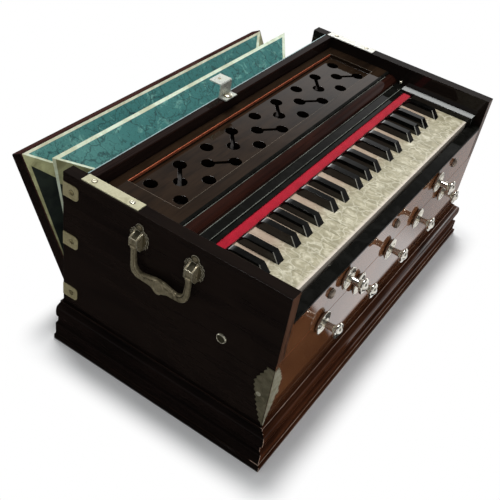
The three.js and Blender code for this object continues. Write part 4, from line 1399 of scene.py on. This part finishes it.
        # The screw seats are discs of painted shade.
        seats.piece(f"{word}_screw_seats", "nickel")
        place = (outer, *self.washer)
        profile = [(0, 0), (6.2, 0), (6.2, 0.5), (5.4, 1.2), (4.6, 1.2), (3.6, 0.7), (0, 0.7)]
        washer = Shape().turned(profile, out, place, PANEL_NICKEL)
        ring = [(5.0, 0.8), (6.5, 0.2), (6.3, 1.0), (5.8, 1.7), (5.3, 1.9), (5.0, 1.5)]
        washer.turned(ring, out, place, BRIGHT_NICKEL, ring=True)
        washer.piece(f"{word}_cup_washer", "nickel", Edges(angle=40))

    def front_board(self) -> None:
        """Builds the lower board and the upper strip with the seam between them."""
        inside, mitred, upper = self.front + self.board, self.half - self.board, self.inner - 1.1
        plan = [(-self.half, self.front), (self.half, self.front), (mitred, inside), (-mitred, inside)]
        shape = Shape().drawn(plan, Axis.Z, (self.foot + self.gap, self.seam - self.gap), FRONT_WOOD)
        shape.block((-upper, upper), (self.front, inside), (self.seam + self.gap, self.upper_top), FRONT_WOOD)
        # The seam's recess is painted dark as shade.
        shape.block((-upper, upper), (self.front + 1, inside), (self.seam - 2, self.seam + 2), SHADE_SEAT)
        shape.piece("front_boards", "red_varnish", Edges(0.35), ["front_board"])

    def build(self) -> None:
        """Builds the case."""
        self.base()
        for side in ENDS:
            self.end_board(side)
            self.end_fittings(side)
        self.bracket()
        self.front_board()
        Refined("key_slip", self.frame).piece("key_slip_wood", "black_lacquer", [SLIP_LACQUER])
        Refined("back_board", self.frame).piece("back_rail", "dark_varnish", [RAIL_WOOD])
        # A pale strip along the rail's edge as a painted highlight.
        arris = Shape().block((-self.inner + 0.4, self.inner - 0.4), *self.rail_edge, RAIL_HIGHLIGHT)
        arris.piece("rail_arris", "dark_varnish", Edges(0.2))
        reed = self.frame["nodes"]["reed_board"].data.materials
        reed.clear()
        reed.append(REED_WOOD.material)


@dataclass
class SoundCover:
    """The perforated cover behind the keys, its copper strip and the felt under its edge."""

    frame: dict
    half: float = 252.8
    top: float = 236.0
    floor: float = 230.0
    recess: Span = (-230.0, 246.0)
    recess_front: float = 35.6
    recess_back: float = 110.0
    holes_front: float = 21.0
    shelf: float = 20.3
    slip_back: float = 19.0
    hollow: Span = (1.3, 16.0)
    highlight_arrises: Table = ((15.9, 232.9), (0.3, 224.3), (-12.2, 223.4))
    pin: Point = (267.9, -6.5, 229.5)
    felt_half: float = 253.2
    felt_steps: int = 180
    felt_front: float = -31.0
    felt_back: float = 10.0
    felt_heights: Span = (217.4, 220.2)

    def build(self) -> None:
        """Builds the cover and the felt."""
        Refined("sound_cover", self.frame).piece(
            "perforated_cover", "brown_varnish", [COVER_WOOD, BLACK_LACQUER, COVE_WOOD, HOLE_SHADE], self.zone,
            Edges(0.4), [((0, self.shelf * METRES, 0), (0, 1, 0))])
        # Pale strips along the cover's front arrises are painted highlights.
        lines = Shape()
        for y, z in self.highlight_arrises:
            lines.block((-self.half, self.half), (y - 0.35, y + 0.35), (z - 0.4, z + 0.5), COVER_HIGHLIGHT)
        left, right, rim = self.recess[0] - 0.1, self.recess[1] + 0.1, (self.top - 0.3, self.top + 0.06)
        # The strips round the recess are painted highlights.
        lines.block((left, right), (self.recess_front, self.recess_front + 0.5), rim, RECESS_HIGHLIGHT)
        for x in (left, right):
            lines.block((x - 0.25, x + 0.25), (self.recess_front, self.recess_back), rim, RECESS_HIGHLIGHT)
        lines.piece("cover_arrises", "brown_varnish", Edges(0.1))
        strip = Shape().block((left + 0.6, right - 0.6), (self.recess_back - 1.1, self.recess_back + 0.2),
                              (self.top - 4.2, self.top - 0.4), COPPER)
        strip.piece("recess_strip", "nickel", Edges(0.3))
        profile = [(0, -1), (1.1, -1), (1.1, 3.6), (2.3, 4), (2.4, 4.8), (1.8, 5.8), (0, 6.3)]
        pin = Shape().turned(profile, (-1, 0, 0), self.pin, BRIGHT_NICKEL, 20)
        pin.piece("cover_pin", "nickel", Edges(angle=50))
        self.felt()

    def zone(self, face: Face) -> int:
        """The number of a face's finish: the top, the black slip, bead and groove, the hollow, or a hole's wall, which
        is painted near black as shade.
        """
        y, z = (value / METRES for value in face.calc_center_median()[1:])
        if y > self.holes_front and z < self.floor - 1 and abs(face.normal.z) < 0.5:
            return 3
        if self.hollow[0] < y < self.hollow[1]:
            return 2
        return int(y < self.slip_back or (y < self.shelf and z > self.top - 0.1))

    def felt(self) -> None:
        """Builds the felt with a slightly wavy front edge."""
        rng, rings, drift = random.Random(5), [], 0.0
        low, high = self.felt_heights
        for step in range(self.felt_steps + 1):
            x = -self.felt_half + 2 * self.felt_half * step / self.felt_steps
            drift = drift * 0.8 + rng.uniform(-0.35, 0.35)
            front = self.felt_front + drift * 0.5
            rings.append([(x, front + 0.7, low), (x, self.felt_back, low), (x, self.felt_back, high),
                          (x, front + 0.7, high), (x, front, high - 0.8), (x, front, low + 0.8)])
        Shape().loft(rings, RED_FELT).piece("crimson_key_felt", "red_felt", Edges(angle=60), ["key_felt"])


@dataclass
class Keyboard:
    """The thirty-nine keys: pearl-covered whites and gloss blacks on their wooden levers, in metres."""

    frame: dict
    covering_foot: float = 0.2136
    covering_back: float = -0.0249
    covering_front: float = -0.1222
    covering_end: Point = (-0.025, 0.19)
    spread: float = 0.00032
    shade: float = 0.012
    cap_back: float = -0.0324
    cap_cuts: tuple[float, ...] = (-0.0355, -0.0385, -0.0415)
    cap_curve: float = -0.0447
    cap_reach: float = 0.0135
    cap_shoulder: float = 0.2195
    glint: Point = (0.0, -0.0839, 0.217)
    glint_foot: float = 0.2045
    slope: Point = (0.0, -0.798, 0.602)

    def build(self) -> None:
        """Dresses each key and puts it on its own body."""
        white_cuts = [((0, 0, self.covering_foot), (0, 0, 1)), *self.cuts((self.covering_back, self.shade))]
        black_cuts = [*self.cuts((self.cap_back, *self.cap_cuts, self.cap_curve, self.shade, self.glint[1])),
                      (self.glint, self.slope)]
        for name in sorted(self.frame["nodes"]):
            key, lever = Refined(name, self.frame), name.replace("key", "key_lever")
            if name.startswith("white_key"):
                middle = sum(corner[0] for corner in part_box(name)) / 2
                key.piece(lever, "key_white", [KEY_WOOD, KEY_PEARL, KEY_SHADED_TAIL], self.white_zone, Edges(0.25),
                          white_cuts, lambda place, middle=middle: self.widened(place, middle), name)
            elif name.startswith("black_key"):
                key.piece(lever, "key_black", [KEY_WOOD, KEY_BLACK, KEY_SHADED_TAIL, KEY_GLINT], self.black_zone,
                          Edges(0.6, 33), black_cuts, self.rear_curve, name)

    def white_zone(self, face: Face) -> int:
        """The number of a white key's finish at a face: wood, pearl, or the tail painted dark as shade."""
        _, y, z = face.calc_center_median()
        if y > self.shade:
            return 2
        return int((z > self.covering_foot and y < self.covering_back) or y < self.covering_front)

    def black_zone(self, face: Face) -> int:
        """The number of a black key's finish at a face: wood, gloss, the tail painted dark as shade, or a glint painted
        on the front arris.
        """
        _, y, z = face.calc_center_median()
        if y > self.shade:
            return 2
        back = max(0.0, z - self.glint[2]) * self.slope[2] / -self.slope[1]
        if face.normal.x < -0.5 and y < self.glint[1] + back + 0.0001 and z > self.glint_foot:
            return 3
        return int(y < self.cap_back)

    def cuts(self, places: Sequence[float]) -> list[Pair]:
        """Planes across the keys at places along y."""
        return [((0, y, 0), (0, 1, 0)) for y in places]

    def widened(self, place: Vector, middle: float) -> Vector:
        """Moves the sides of a white key's covering out to nearly touch its neighbours'."""
        if place.y > self.covering_end[0] or place.z < self.covering_end[1]:
            return place
        return place + Vector((math.copysign(self.spread, place.x - middle), 0, 0))

    def rear_curve(self, place: Vector) -> Vector:
        """Lowers the top of a black cap towards the felt in a quarter round."""
        if not self.cap_curve + 1e-5 <= place.y <= self.cap_back + 1e-4 or place.z < self.cap_shoulder:
            return place
        share = math.sqrt(max(0.0, 1 - ((place.y - self.cap_curve) / self.cap_reach) ** 2))
        return Vector((place.x, place.y, place.z + (self.cap_shoulder - place.z) * (1 - share)))


@dataclass
class Stops:
    """The seven stops with their rosettes and the button screws between them."""

    front: float = -141.0
    pitch: float = 87.5
    middle: float = -14.5
    lower: float = 152.0
    upper: float = 189.5
    buttons: tuple[float, ...] = (-182.0, -11.0, 180.0)
    knob: Table = (
        (0, -32.3), (6, -32.3), (6, -29.3), (4.2, -29.3), (4.2, 6), (4.3, 15.5), (4.8, 17.6), (5.8, 18.9),
        (7.6, 19.9), (9.2, 20.8), (9.9, 21.8), (10, 22.8), (9.7, 23.7), (9, 24.3), (8.1, 24.3), (7.2, 24),
        (6.2, 24.3), (5.2, 25.2), (3.8, 26.4), (2, 27.2), (0, 27.5))
    rosette: Table = (
        (4.7, 0), (9.6, 0), (12.2, 0.9), (14.1, 2.4), (15, 4), (14.9, 4.7), (14.3, 5), (13.4, 4.8), (12.3, 3.9),
        (10.4, 2.8), (8, 2.3), (7, 2.4), (6.4, 3), (5.4, 3.2), (4.7, 2.8))
    button: Table = (
        (0, 0), (6, 0), (6, 2.4), (5.4, 3.6), (4.8, 3.8), (4.2, 3.4), (3.7, 3.8), (2.6, 4.6), (1.2, 5), (0, 5))
    button_shade_ring: Table = ((5.8, 0), (6.8, 0), (6.8, 0.3), (5.8, 0.3))

    def places(self) -> list[Span]:
        """Where the stops stand, from the bass end."""
        found = []
        for step in range(-2, 3):
            found.append((self.middle + step * self.pitch, self.lower))
            if abs(step) == 2:
                found.append((self.middle + (step - math.copysign(0.5, step)) * self.pitch, self.upper))
        return sorted(found)

    def repeat(self, name: str, shape: Shape, places: Sequence[Point], seed: int) -> None:
        """Repeats a turned shape on the front board.

        Args:
            name: The piece's name.
            shape: The shape, standing on z = 0.
            places: The x and z of each copy.
            seed: The seed of its spin.
        """
        data = shape.data(name, dressed=False)
        data.shade_smooth()
        spots = [((x, self.front, z), (0, -1, 0)) for x, z in places]
        scatter(name, linked(name + "_source", data), spots, shape.finishes[0], seed)

    def build(self) -> None:
        """Builds the stops, and repeats the rosettes, the button screws and the dark rings painted as shade round them.
        """
        for number, (x, z) in enumerate(self.places(), 1):
            shape = Shape().turned(self.knob, (0, -1, 0), (x, self.front, z), CHROME, 40)
            shape.piece(f"stop_knob_{number}", "nickel", Edges(angle=50), [f"stop_{number}"], f"stop_{number}")
        buttons = [(x, self.upper) for x in self.buttons]
        up, foot = (0, 0, 1), (0, 0, 0)
        self.repeat("stop_rosettes", Shape().turned(self.rosette, up, foot, ROSETTE_CHROME, 40, True), self.places(), 3)
        self.repeat("button_screws", Shape().turned(self.button, up, foot, BUTTON_BRONZE), buttons, 4)
        self.repeat("button_seats", Shape().turned(self.button_shade_ring, up, foot, SHADE_SEAT, ring=True), buttons, 5)


@dataclass
class BailHandle:
    """A cast bail with a medallion, on two slotted housings with scalloped plates."""

    side: int
    screws: Screws
    case_half: float = 284.0
    middle: float = 9.5
    half_span: float = 36.5
    pivot: float = 214.0
    pivot_out: float = 8.0
    drop: float = 33.0
    ear_rise: float = 6.5
    scallops: float = 15.0
    lug_rise: float = 21.0
    lug_radius: float = 5.2
    lug_thick: float = 1.4
    slot_half: float = 3.6
    wall_half: float = 5.7
    widths: Table = (
        (0, 3.0), (0.2, 3.1), (0.36, 3.8), (0.5, 4.8), (0.62, 5.0), (0.72, 4.4), (0.8, 5.4), (0.87, 6.4),
        (0.93, 8.6), (1, 9.6))
    line: Table = (
        (1, 0.06), (1, 0.3), (0.985, 0.55), (0.965, 0.76), (0.9, 0.93), (0.78, 1.02), (0.6, 1.04), (0.3, 1.02),
        (0, 1.04))
    bar: Table = (
        (-1, 0), (-0.93, 0.62), (-0.78, 0.94), (-0.3, 1), (0.34, 1), (0.4, 0.6), (0.56, 0.6), (0.62, 1),
        (0.84, 0.92), (0.95, 0.6), (1, 0), (0.93, -0.7), (0.7, -1), (-0.7, -1), (-0.93, -0.7))
    medallion: Table = (
        (0, 0), (8.6, 0), (8.6, 3.0), (7.9, 3.7), (7.2, 3.1), (6.4, 2.8), (5.6, 3.3), (4.2, 3.0), (3.2, 3.6),
        (0, 3.9))

    @property
    def x(self) -> float:
        """The pins' distance from the middle of the case, with the end's sign."""
        return self.side * (self.case_half + self.pivot_out)

    def section(self, *points: Point) -> list[Point]:
        """Gives places by their distance out of the board and above the pin."""
        return [(self.side * (self.case_half + out), self.pivot + rise) for out, rise in points]

    def scalloped(self, y: float, scale: float) -> list[Point]:
        """Gives a scalloped plate's outline by its middle and its scale."""
        up = self.pivot + self.ear_rise
        outline = []
        for step in range(180):
            angle = step / 180 * math.tau
            dent = abs(math.sin(angle * self.scallops / 2)) ** 0.7 * 1.5
            across, high = math.cos(angle), math.sin(angle)
            outline.append((y + (11.7 + dent) * scale * math.copysign(abs(across) ** 0.75, across),
                            up + (11.9 + dent) * scale * math.copysign(abs(high) ** 0.75, high)))
        return outline

    def ear(self, hand: int, word: str) -> None:
        """Builds a scalloped plate with its panelled housing, its pin and the lug of its screw.

        Args:
            hand: -1 for the front ear and 1 for the rear one.
            word: The ear's place in its name.
        """
        face, y = self.side * self.case_half, self.middle + hand * self.half_span
        slot, wall, lug = (y - self.slot_half - 0.1, y + self.slot_half + 0.1), self.wall_half, self.lug_radius
        lug_face = face + self.side * self.lug_thick
        shape = Shape()
        for scale, start, end in ((1.0, 0.0, 1.3), (0.86, 1.3, 2.0)):
            depths = (face + self.side * start, face + self.side * end)
            shape.drawn(self.scalloped(y, scale), Axis.X, depths, EAR_NICKEL)
        turns = [step / 24 * math.tau for step in range(24)]
        circle = [(y + lug * math.cos(turn), self.pivot + self.lug_rise + lug * math.sin(turn)) for turn in turns]
        shape.drawn(circle, Axis.X, (face, lug_face), EAR_NICKEL)
        cheek = self.section((0, -7), (0, 17.5), (1.5, 17.5), (11.8, 11.8), (11.8, 1.5), (5, -7))
        for near, far in ((-wall, -self.slot_half), (self.slot_half, wall)):
            shape.drawn(cheek, Axis.Y, (y + near, y + far), OLD_NICKEL)
        roof = self.section((0.5, 17.2), (1.5, 17.2), (11.5, 11.5), (11.5, 10.2), (0.5, 15.9))
        shape.drawn(roof, Axis.Y, slot, PANEL_NICKEL)
        shape.drawn(self.section((10.4, 4.4), (11.6, 4.4), (11.6, 12.1), (10.4, 12.1)), Axis.Y, slot, OLD_NICKEL)
        length = 2 * wall - 0.4
        shape.turned([(0, 0), (2, 0), (2, length), (0, length)], (0, 1, 0), (self.x, y - wall + 0.2, self.pivot),
                     OLD_NICKEL, 20)
        # The ears' rounded edges take the pale nickel as painted highlights.
        shape.piece(f"{ENDS[self.side]}_handle_ear_{word}", "nickel", Edges(0.35, 50, 1, BRIGHT_NICKEL))
        self.screws.add("ear_screws", (lug_face, y, self.pivot + self.lug_rise + 0.5), (self.side, 0, 0))

    def path(self) -> list[Vector]:
        """The bail's centre line from its front eye to its rear eye."""
        shares = [(-across, down) for across, down in self.line] + list(reversed(self.line[:-1]))
        knots = [Vector((self.x, self.middle + across * self.half_span, self.pivot - down * self.drop))
                 for across, down in shares]
        smooth: list[Vector] = []
        for at in range(len(knots) - 1):
            before, start = knots[max(at - 1, 0)], knots[at]
            end, after = knots[at + 1], knots[min(at + 2, len(knots) - 1)]
            for step in range(5):
                t = step / 5
                smooth.append(0.5 * ((2 * start) + (end - before) * t
                                     + (2 * before - 5 * start + 4 * end - after) * t * t
                                     + (3 * start - before - 3 * end + after) * t * t * t))
        smooth.append(knots[-1])
        return smooth

    def sweep(self, shape: Shape, outward: Vector) -> None:
        """Sweeps the flat bar along its line.

        Args:
            shape: The bail's shape.
            outward: The direction away from the case.
        """
        points = self.path()
        middle = Vector((self.x, self.middle, self.pivot - self.drop * 0.35))
        rings, last = [], len(points) - 1
        for at, point in enumerate(points):
            along = (points[min(at + 1, last)] - points[max(at - 1, 0)]).normalized()
            across = outward.cross(along)
            if across.dot(middle - point) < 0:
                across = -across
            width = read_off(self.widths, min(at / last, 1 - at / last) * 2)
            rings.append([tuple(point + outward * u * 2.7 + across * v * width) for v, u in self.bar])
        shape.loft(rings, OLD_NICKEL)

    def bail(self) -> None:
        """Builds the flat bar with its sunk line, whose floor is painted dark as shade, its eyes, its medallion and the
        petals beside it.
        """
        shape, outward, centre = Shape(), Vector((self.side, 0, 0)), self.pivot - self.drop * 1.04
        self.sweep(shape, outward)
        # Painted shade on the floor of the sunk line.
        shape.repaint(lambda face: 1.4 < abs(face.calc_center_median().x - self.x) < 1.8
                      and abs(face.normal.x) > 0.9, SHADE_SEAT)
        for hand in (-1, 1):
            eye = [(2.35, 0), (3.3, 0), (3.8, 0.5), (3.8, 5.9), (3.3, 6.4), (2.35, 6.4)]
            place = (self.x, self.middle + hand * self.half_span - 3.2, self.pivot)
            shape.turned(eye, (0, 1, 0), place, OLD_NICKEL, 32, ring=True)
        turns = [step / 36 * math.tau for step in range(36)]
        rings = []
        for radius, height in self.medallion:
            wide, tall, x = 0.87 * max(radius, 0.01), 1.2 * max(radius, 0.01), self.x + self.side * (height - 0.4)
            rings.append([(x, self.middle + wide * math.cos(turn), centre + tall * math.sin(turn)) for turn in turns])
        shape.loft(rings, OLD_NICKEL)
        for hand in (-1, 1):
            for place, turn in ((0.62, 0.06), (0.42, -0.06)):
                spot = (self.x + self.side * 2.2, self.middle + hand * place * self.half_span,
                        centre + 0.06 * self.drop)
                petal = [(0, 0), (1.9, 0), (1.6, 0.7), (0.8, 1.1), (0, 1.2)]
                shape.turned(petal, (self.side, 0, turn), spot, OLD_NICKEL, 12)
        word = ENDS[self.side]
        shape.piece(f"{word}_bail", "nickel", Edges(angle=40), [f"{word}_handle_bail"], f"{word}_bail")

    def build(self) -> None:
        """Builds the handle."""
        for hand, word in ((-1, "front"), (1, "rear")):
            self.ear(hand, word)
        self.bail()


@dataclass
class Latch:
    """The bent strip on the back rail and the screw that it turns on."""

    screws: Screws
    middle: float = -12.0
    half: float = 12.5
    top: float = 252.3
    rise: float = 20.0
    thick: float = 1.6
    pivot: float = 126.5
    hole: float = 142.5

    def build(self) -> None:
        """Builds the strip as a bent band with a thin disc at its hole, and the screw's shank and collar."""
        low, high = self.top, self.top + self.rise
        outline = [(120, low), (131.2, low), (132.5, low + 1.3), (132.5, high - self.thick), (150, high - self.thick),
                   (150, high), (132.2, high), (130.9, high - 1.3), (130.9, low + self.thick), (120, low + self.thick)]
        shape = Shape().drawn(outline, Axis.X, (self.middle - self.half, self.middle + self.half), LATCH_METAL)
        rivet = [(0, 0), (2.4, 0), (2.4, 0.06), (0, 0.06)]
        shape.turned(rivet, (0, 0, 1), (self.middle, self.hole, high), OLD_NICKEL, 24)
        profile = [(0, -8.3), (2, -8.3), (2, 0.8), (5.6, 0.9), (6, 1.3), (6, 2.4), (5.7, 2.7), (0, 2.7)]
        shape.turned(profile, (0, 0, 1), (self.middle, self.pivot, low), OLD_NICKEL, 36)
        self.screws.add("latch_screw", (self.middle, self.pivot, low + 2.7), (0, 0, 1))
        shape.piece("latch_strip", "nickel", Edges(0.25, 40), ["bellows_latch"], Body.LATCH.value)


@dataclass
class Bellows:
    """The bellows board and the folded cover of paper and leather."""

    frame: dict
    hinge: Span = (157.7, 58.5)
    board_tilt: float = 28.8
    board_reach: float = 182.5
    board_gap: float = 0.3
    cover_half: float = 258.5
    ridge_tilt: float = 13.4
    ridge_reach: float = 180.5
    ridge_half: float = 256.0
    rib: float = 50.0
    inset: float = 54.0
    start: float = 14.0
    start_inset: float = 3.0
    back_face: float = 134.8
    case_top: float = 250.0
    bend_reach: float = 25.0
    wall: float = 1.2
    weld: float = 0.02
    end_bands: Span = (4.0, 7.5)
    bindings: tuple = (((2.0, CREAM_HIDE), (2.0, TEAL_PAPER)), ((2.0, TEAL_PAPER), (4.6, CREAM_HIDE)),
                       ((2.6, CREAM_HIDE), (2.0, TEAL_PAPER)), ((2.0, TEAL_PAPER), (3.4, BOARD_HIDE)))
    strips: tuple = ((0.06, 0.03), (0.03, 0.06), (0.05, 0.03), (0.03, 0.09))
    gussets: tuple = (20.0, 26.0, 32.0, 22.0, 12.0)

    def leaning(self, tilt: float, reach: float) -> Span:
        """A place on the plane that leans by a tilt about the hinge."""
        angle = math.radians(tilt)
        return self.hinge[0] + reach * math.sin(angle), self.hinge[1] + reach * math.cos(angle)

    def valley(self, first: Point, second: Point) -> Span:
        """The lowest point of a fold between two upper edges."""
        span = math.dist(first, second)
        drop = math.sqrt(self.rib ** 2 - (span / 2) ** 2)
        return ((first[0] + second[0]) / 2 + (second[1] - first[1]) / span * drop,
                (first[1] + second[1]) / 2 - (second[0] - first[0]) / span * drop)

    def sections(self) -> list[Section]:
        """Each section's upper and lower place and its half widths there."""
        tilt = math.radians(self.board_tilt)

        def on_board(reach: float) -> Span:
            """Returns a place just inside the board."""
            y, z = self.leaning(self.board_tilt, reach)
            return y - self.board_gap * math.cos(tilt), z + self.board_gap * math.sin(tilt)

        case, ridge = (self.back_face, self.case_top), self.leaning(self.ridge_tilt, self.ridge_reach)
        board, half = on_board(self.board_reach), self.ridge_half
        narrow, foot = half - self.inset, half - self.start_inset
        return [
            (case, (self.back_face, self.hinge[1] + 3), half, half),
            (self.valley(case, ridge), self.leaning(self.ridge_tilt / 4, self.start), narrow, foot),
            (ridge, self.leaning(self.ridge_tilt, self.start), half, half),
            (self.valley(ridge, board), self.leaning((self.ridge_tilt + self.board_tilt) / 2, self.start), narrow,
             foot),
            (board, on_board(self.start), self.cover_half, self.cover_half),
        ]

    def cover(self) -> None:
        """Builds the folded cover: marbled top ribs, sides painted dark as shade, and leather along the edges."""
        shape = Shape()
        sections = self.sections()
        for number, (first, second) in enumerate(zip(sections, sections[1:])):
            self.top_rib(shape, first, second, number)
            for side in (-1, 1):
                self.side_rib(shape, side, first, second, number)
        bmesh.ops.remove_doubles(shape.mesh, verts=shape.mesh.verts, dist=self.weld)
        piece = linked("bellows_paper", shape.data("bellows_paper", upward=True))
        wall = piece.modifiers.new("wall", "SOLIDIFY")
        wall.thickness, wall.offset = self.wall * METRES, -1
        baked(piece)
        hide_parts("bellows_folds")
        LOG.info("%s: %d faces", piece.name, len(piece.data.polygons))
        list(self.bend())
        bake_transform(piece)

    def bend(self) -> tuple[Point, Point]:
        """Two places a bend reach either side of the hinge, along the ridge's tilt."""
        tilt, reach = math.radians(self.ridge_tilt), self.bend_reach * METRES
        (y, z), across = (value * METRES for value in self.hinge), (math.cos(tilt) * reach, -math.sin(tilt) * reach)
        return (0, y - across[0], z - across[1]), (0, y + across[0], z + across[1])

    def top_rib(self, shape: Shape, first: Section, second: Section, number: int) -> None:
        """Adds one top rib, with its leather bindings as faces of their own.

        Args:
            shape: The cover's shape.
            first: The section nearer the case.
            second: The section nearer the board.
            number: The rib's number from the case.
        """
        (a, _, a_half, _), (b, _, b_half, _) = first, second
        (near, near_finish), (far, far_finish) = self.bindings[number]
        near, far = near / math.dist(a, b), 1 - far / math.dist(a, b)
        cuts = sorted({0.0, near, 0.25, 0.5, 0.75, far, 1.0})
        rows = []
        for t in cuts:
            y, z, half = a[0] + (b[0] - a[0]) * t, a[1] + (b[1] - a[1]) * t, a_half + (b_half - a_half) * t
            start, end = -half + self.end_bands[0], half - self.end_bands[1]
            middles = [start + (end - start) * step / 12 for step in range(13)]
            rows.append([(x, y, z) for x in (-half, *middles, half)])

        def finish(row: int, column: int) -> Finish:
            """Returns a face's finish: a binding's, the leather at an end or the paper."""
            if cuts[row] < near:
                return near_finish
            if cuts[row] >= far:
                return far_finish
            return CREAM_HIDE if column in (0, len(rows[0]) - 2) else TEAL_PAPER

        shape.sheet(rows, finish)

    def side_rib(self, shape: Shape, side: int, first: Section, second: Section, number: int) -> None:
        """Adds one side rib, with its leather gusset and the strips along its folds.

        Args:
            shape: The cover's shape.
            side: -1 or 1.
            first: The section nearer the case.
            second: The section nearer the board.
            number: The rib's number from the case.
        """
        (a, a_low, a_half, a_start), (b, b_low, b_half, b_start) = first, second
        high_a, low_a = Vector((side * a_half, *a)), Vector((side * a_start, *a_low))
        high_b, low_b = Vector((side * b_half, *b)), Vector((side * b_start, *b_low))
        near, far = self.strips[number]
        gusset_a, gusset_b = self.gussets[number], self.gussets[number + 1]
        across = sorted({0.0, near, 0.35, 0.65, 1 - far, 1.0})
        columns = []
        for s in across:
            top, bottom = high_a.lerp(high_b, s), low_a.lerp(low_b, s)
            edge = (gusset_a + (gusset_b - gusset_a) * s) / (bottom - top).length
            downs = [0.0, edge, *(edge + (1 - edge) * step / 6 for step in range(1, 7))]
            columns.append([tuple(top.lerp(bottom, t)) for t in downs])

        def finish(row: int, column: int) -> Finish:
            """Returns a face's finish: the leather of a strip or of the gusset, or the paper painted dark as shade."""
            if column in (0, len(across) - 2):
                return CREAM_HIDE if number in (1, 2) else TAN_HIDE
            return TAN_HIDE if row == 0 else SHADED_SIDE_PAPER

        shape.sheet(list(zip(*columns)), finish)

    def build(self) -> None:
        """Builds the board and the cover."""
        Refined("bellows_board", self.frame).piece(
            "bellows_board_wood", "red_varnish", [FLAP_WOOD, END_WOOD], lambda face: int(abs(face.normal.x) > 0.9),
            Edges(0.8, steps=3), body=Body.FLAP.value)
        self.cover()


def main() -> None:
    """Builds the studio and the instrument."""
    logging.basicConfig(level=logging.INFO, format="%(name)s: %(message)s")
    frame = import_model()
    Studio().build()
    screws = Screws()
    for part in (Case(frame, screws), SoundCover(frame), Keyboard(frame), Stops(), BailHandle(-1, screws),
                 BailHandle(1, screws), Latch(screws), Bellows(frame)):
        LOG.info("building the %s", type(part).__name__)
        part.build()
    screws.build({
        "bracket_screws": (BRACKET_LIT_FRONT, 1.0, Body.CASE),
        "strap_screws": (BRIGHT_NICKEL, 0.95, Body.CASE),
        "edge_screws": (SCREW_NICKEL, 1.0, Body.CASE),
        "ear_screws": (OLD_NICKEL, 0.9, Body.CASE),
        "latch_screw": (BRIGHT_NICKEL, 1.8, Body.LATCH),
    })


if __name__ == "__main__":
    main()
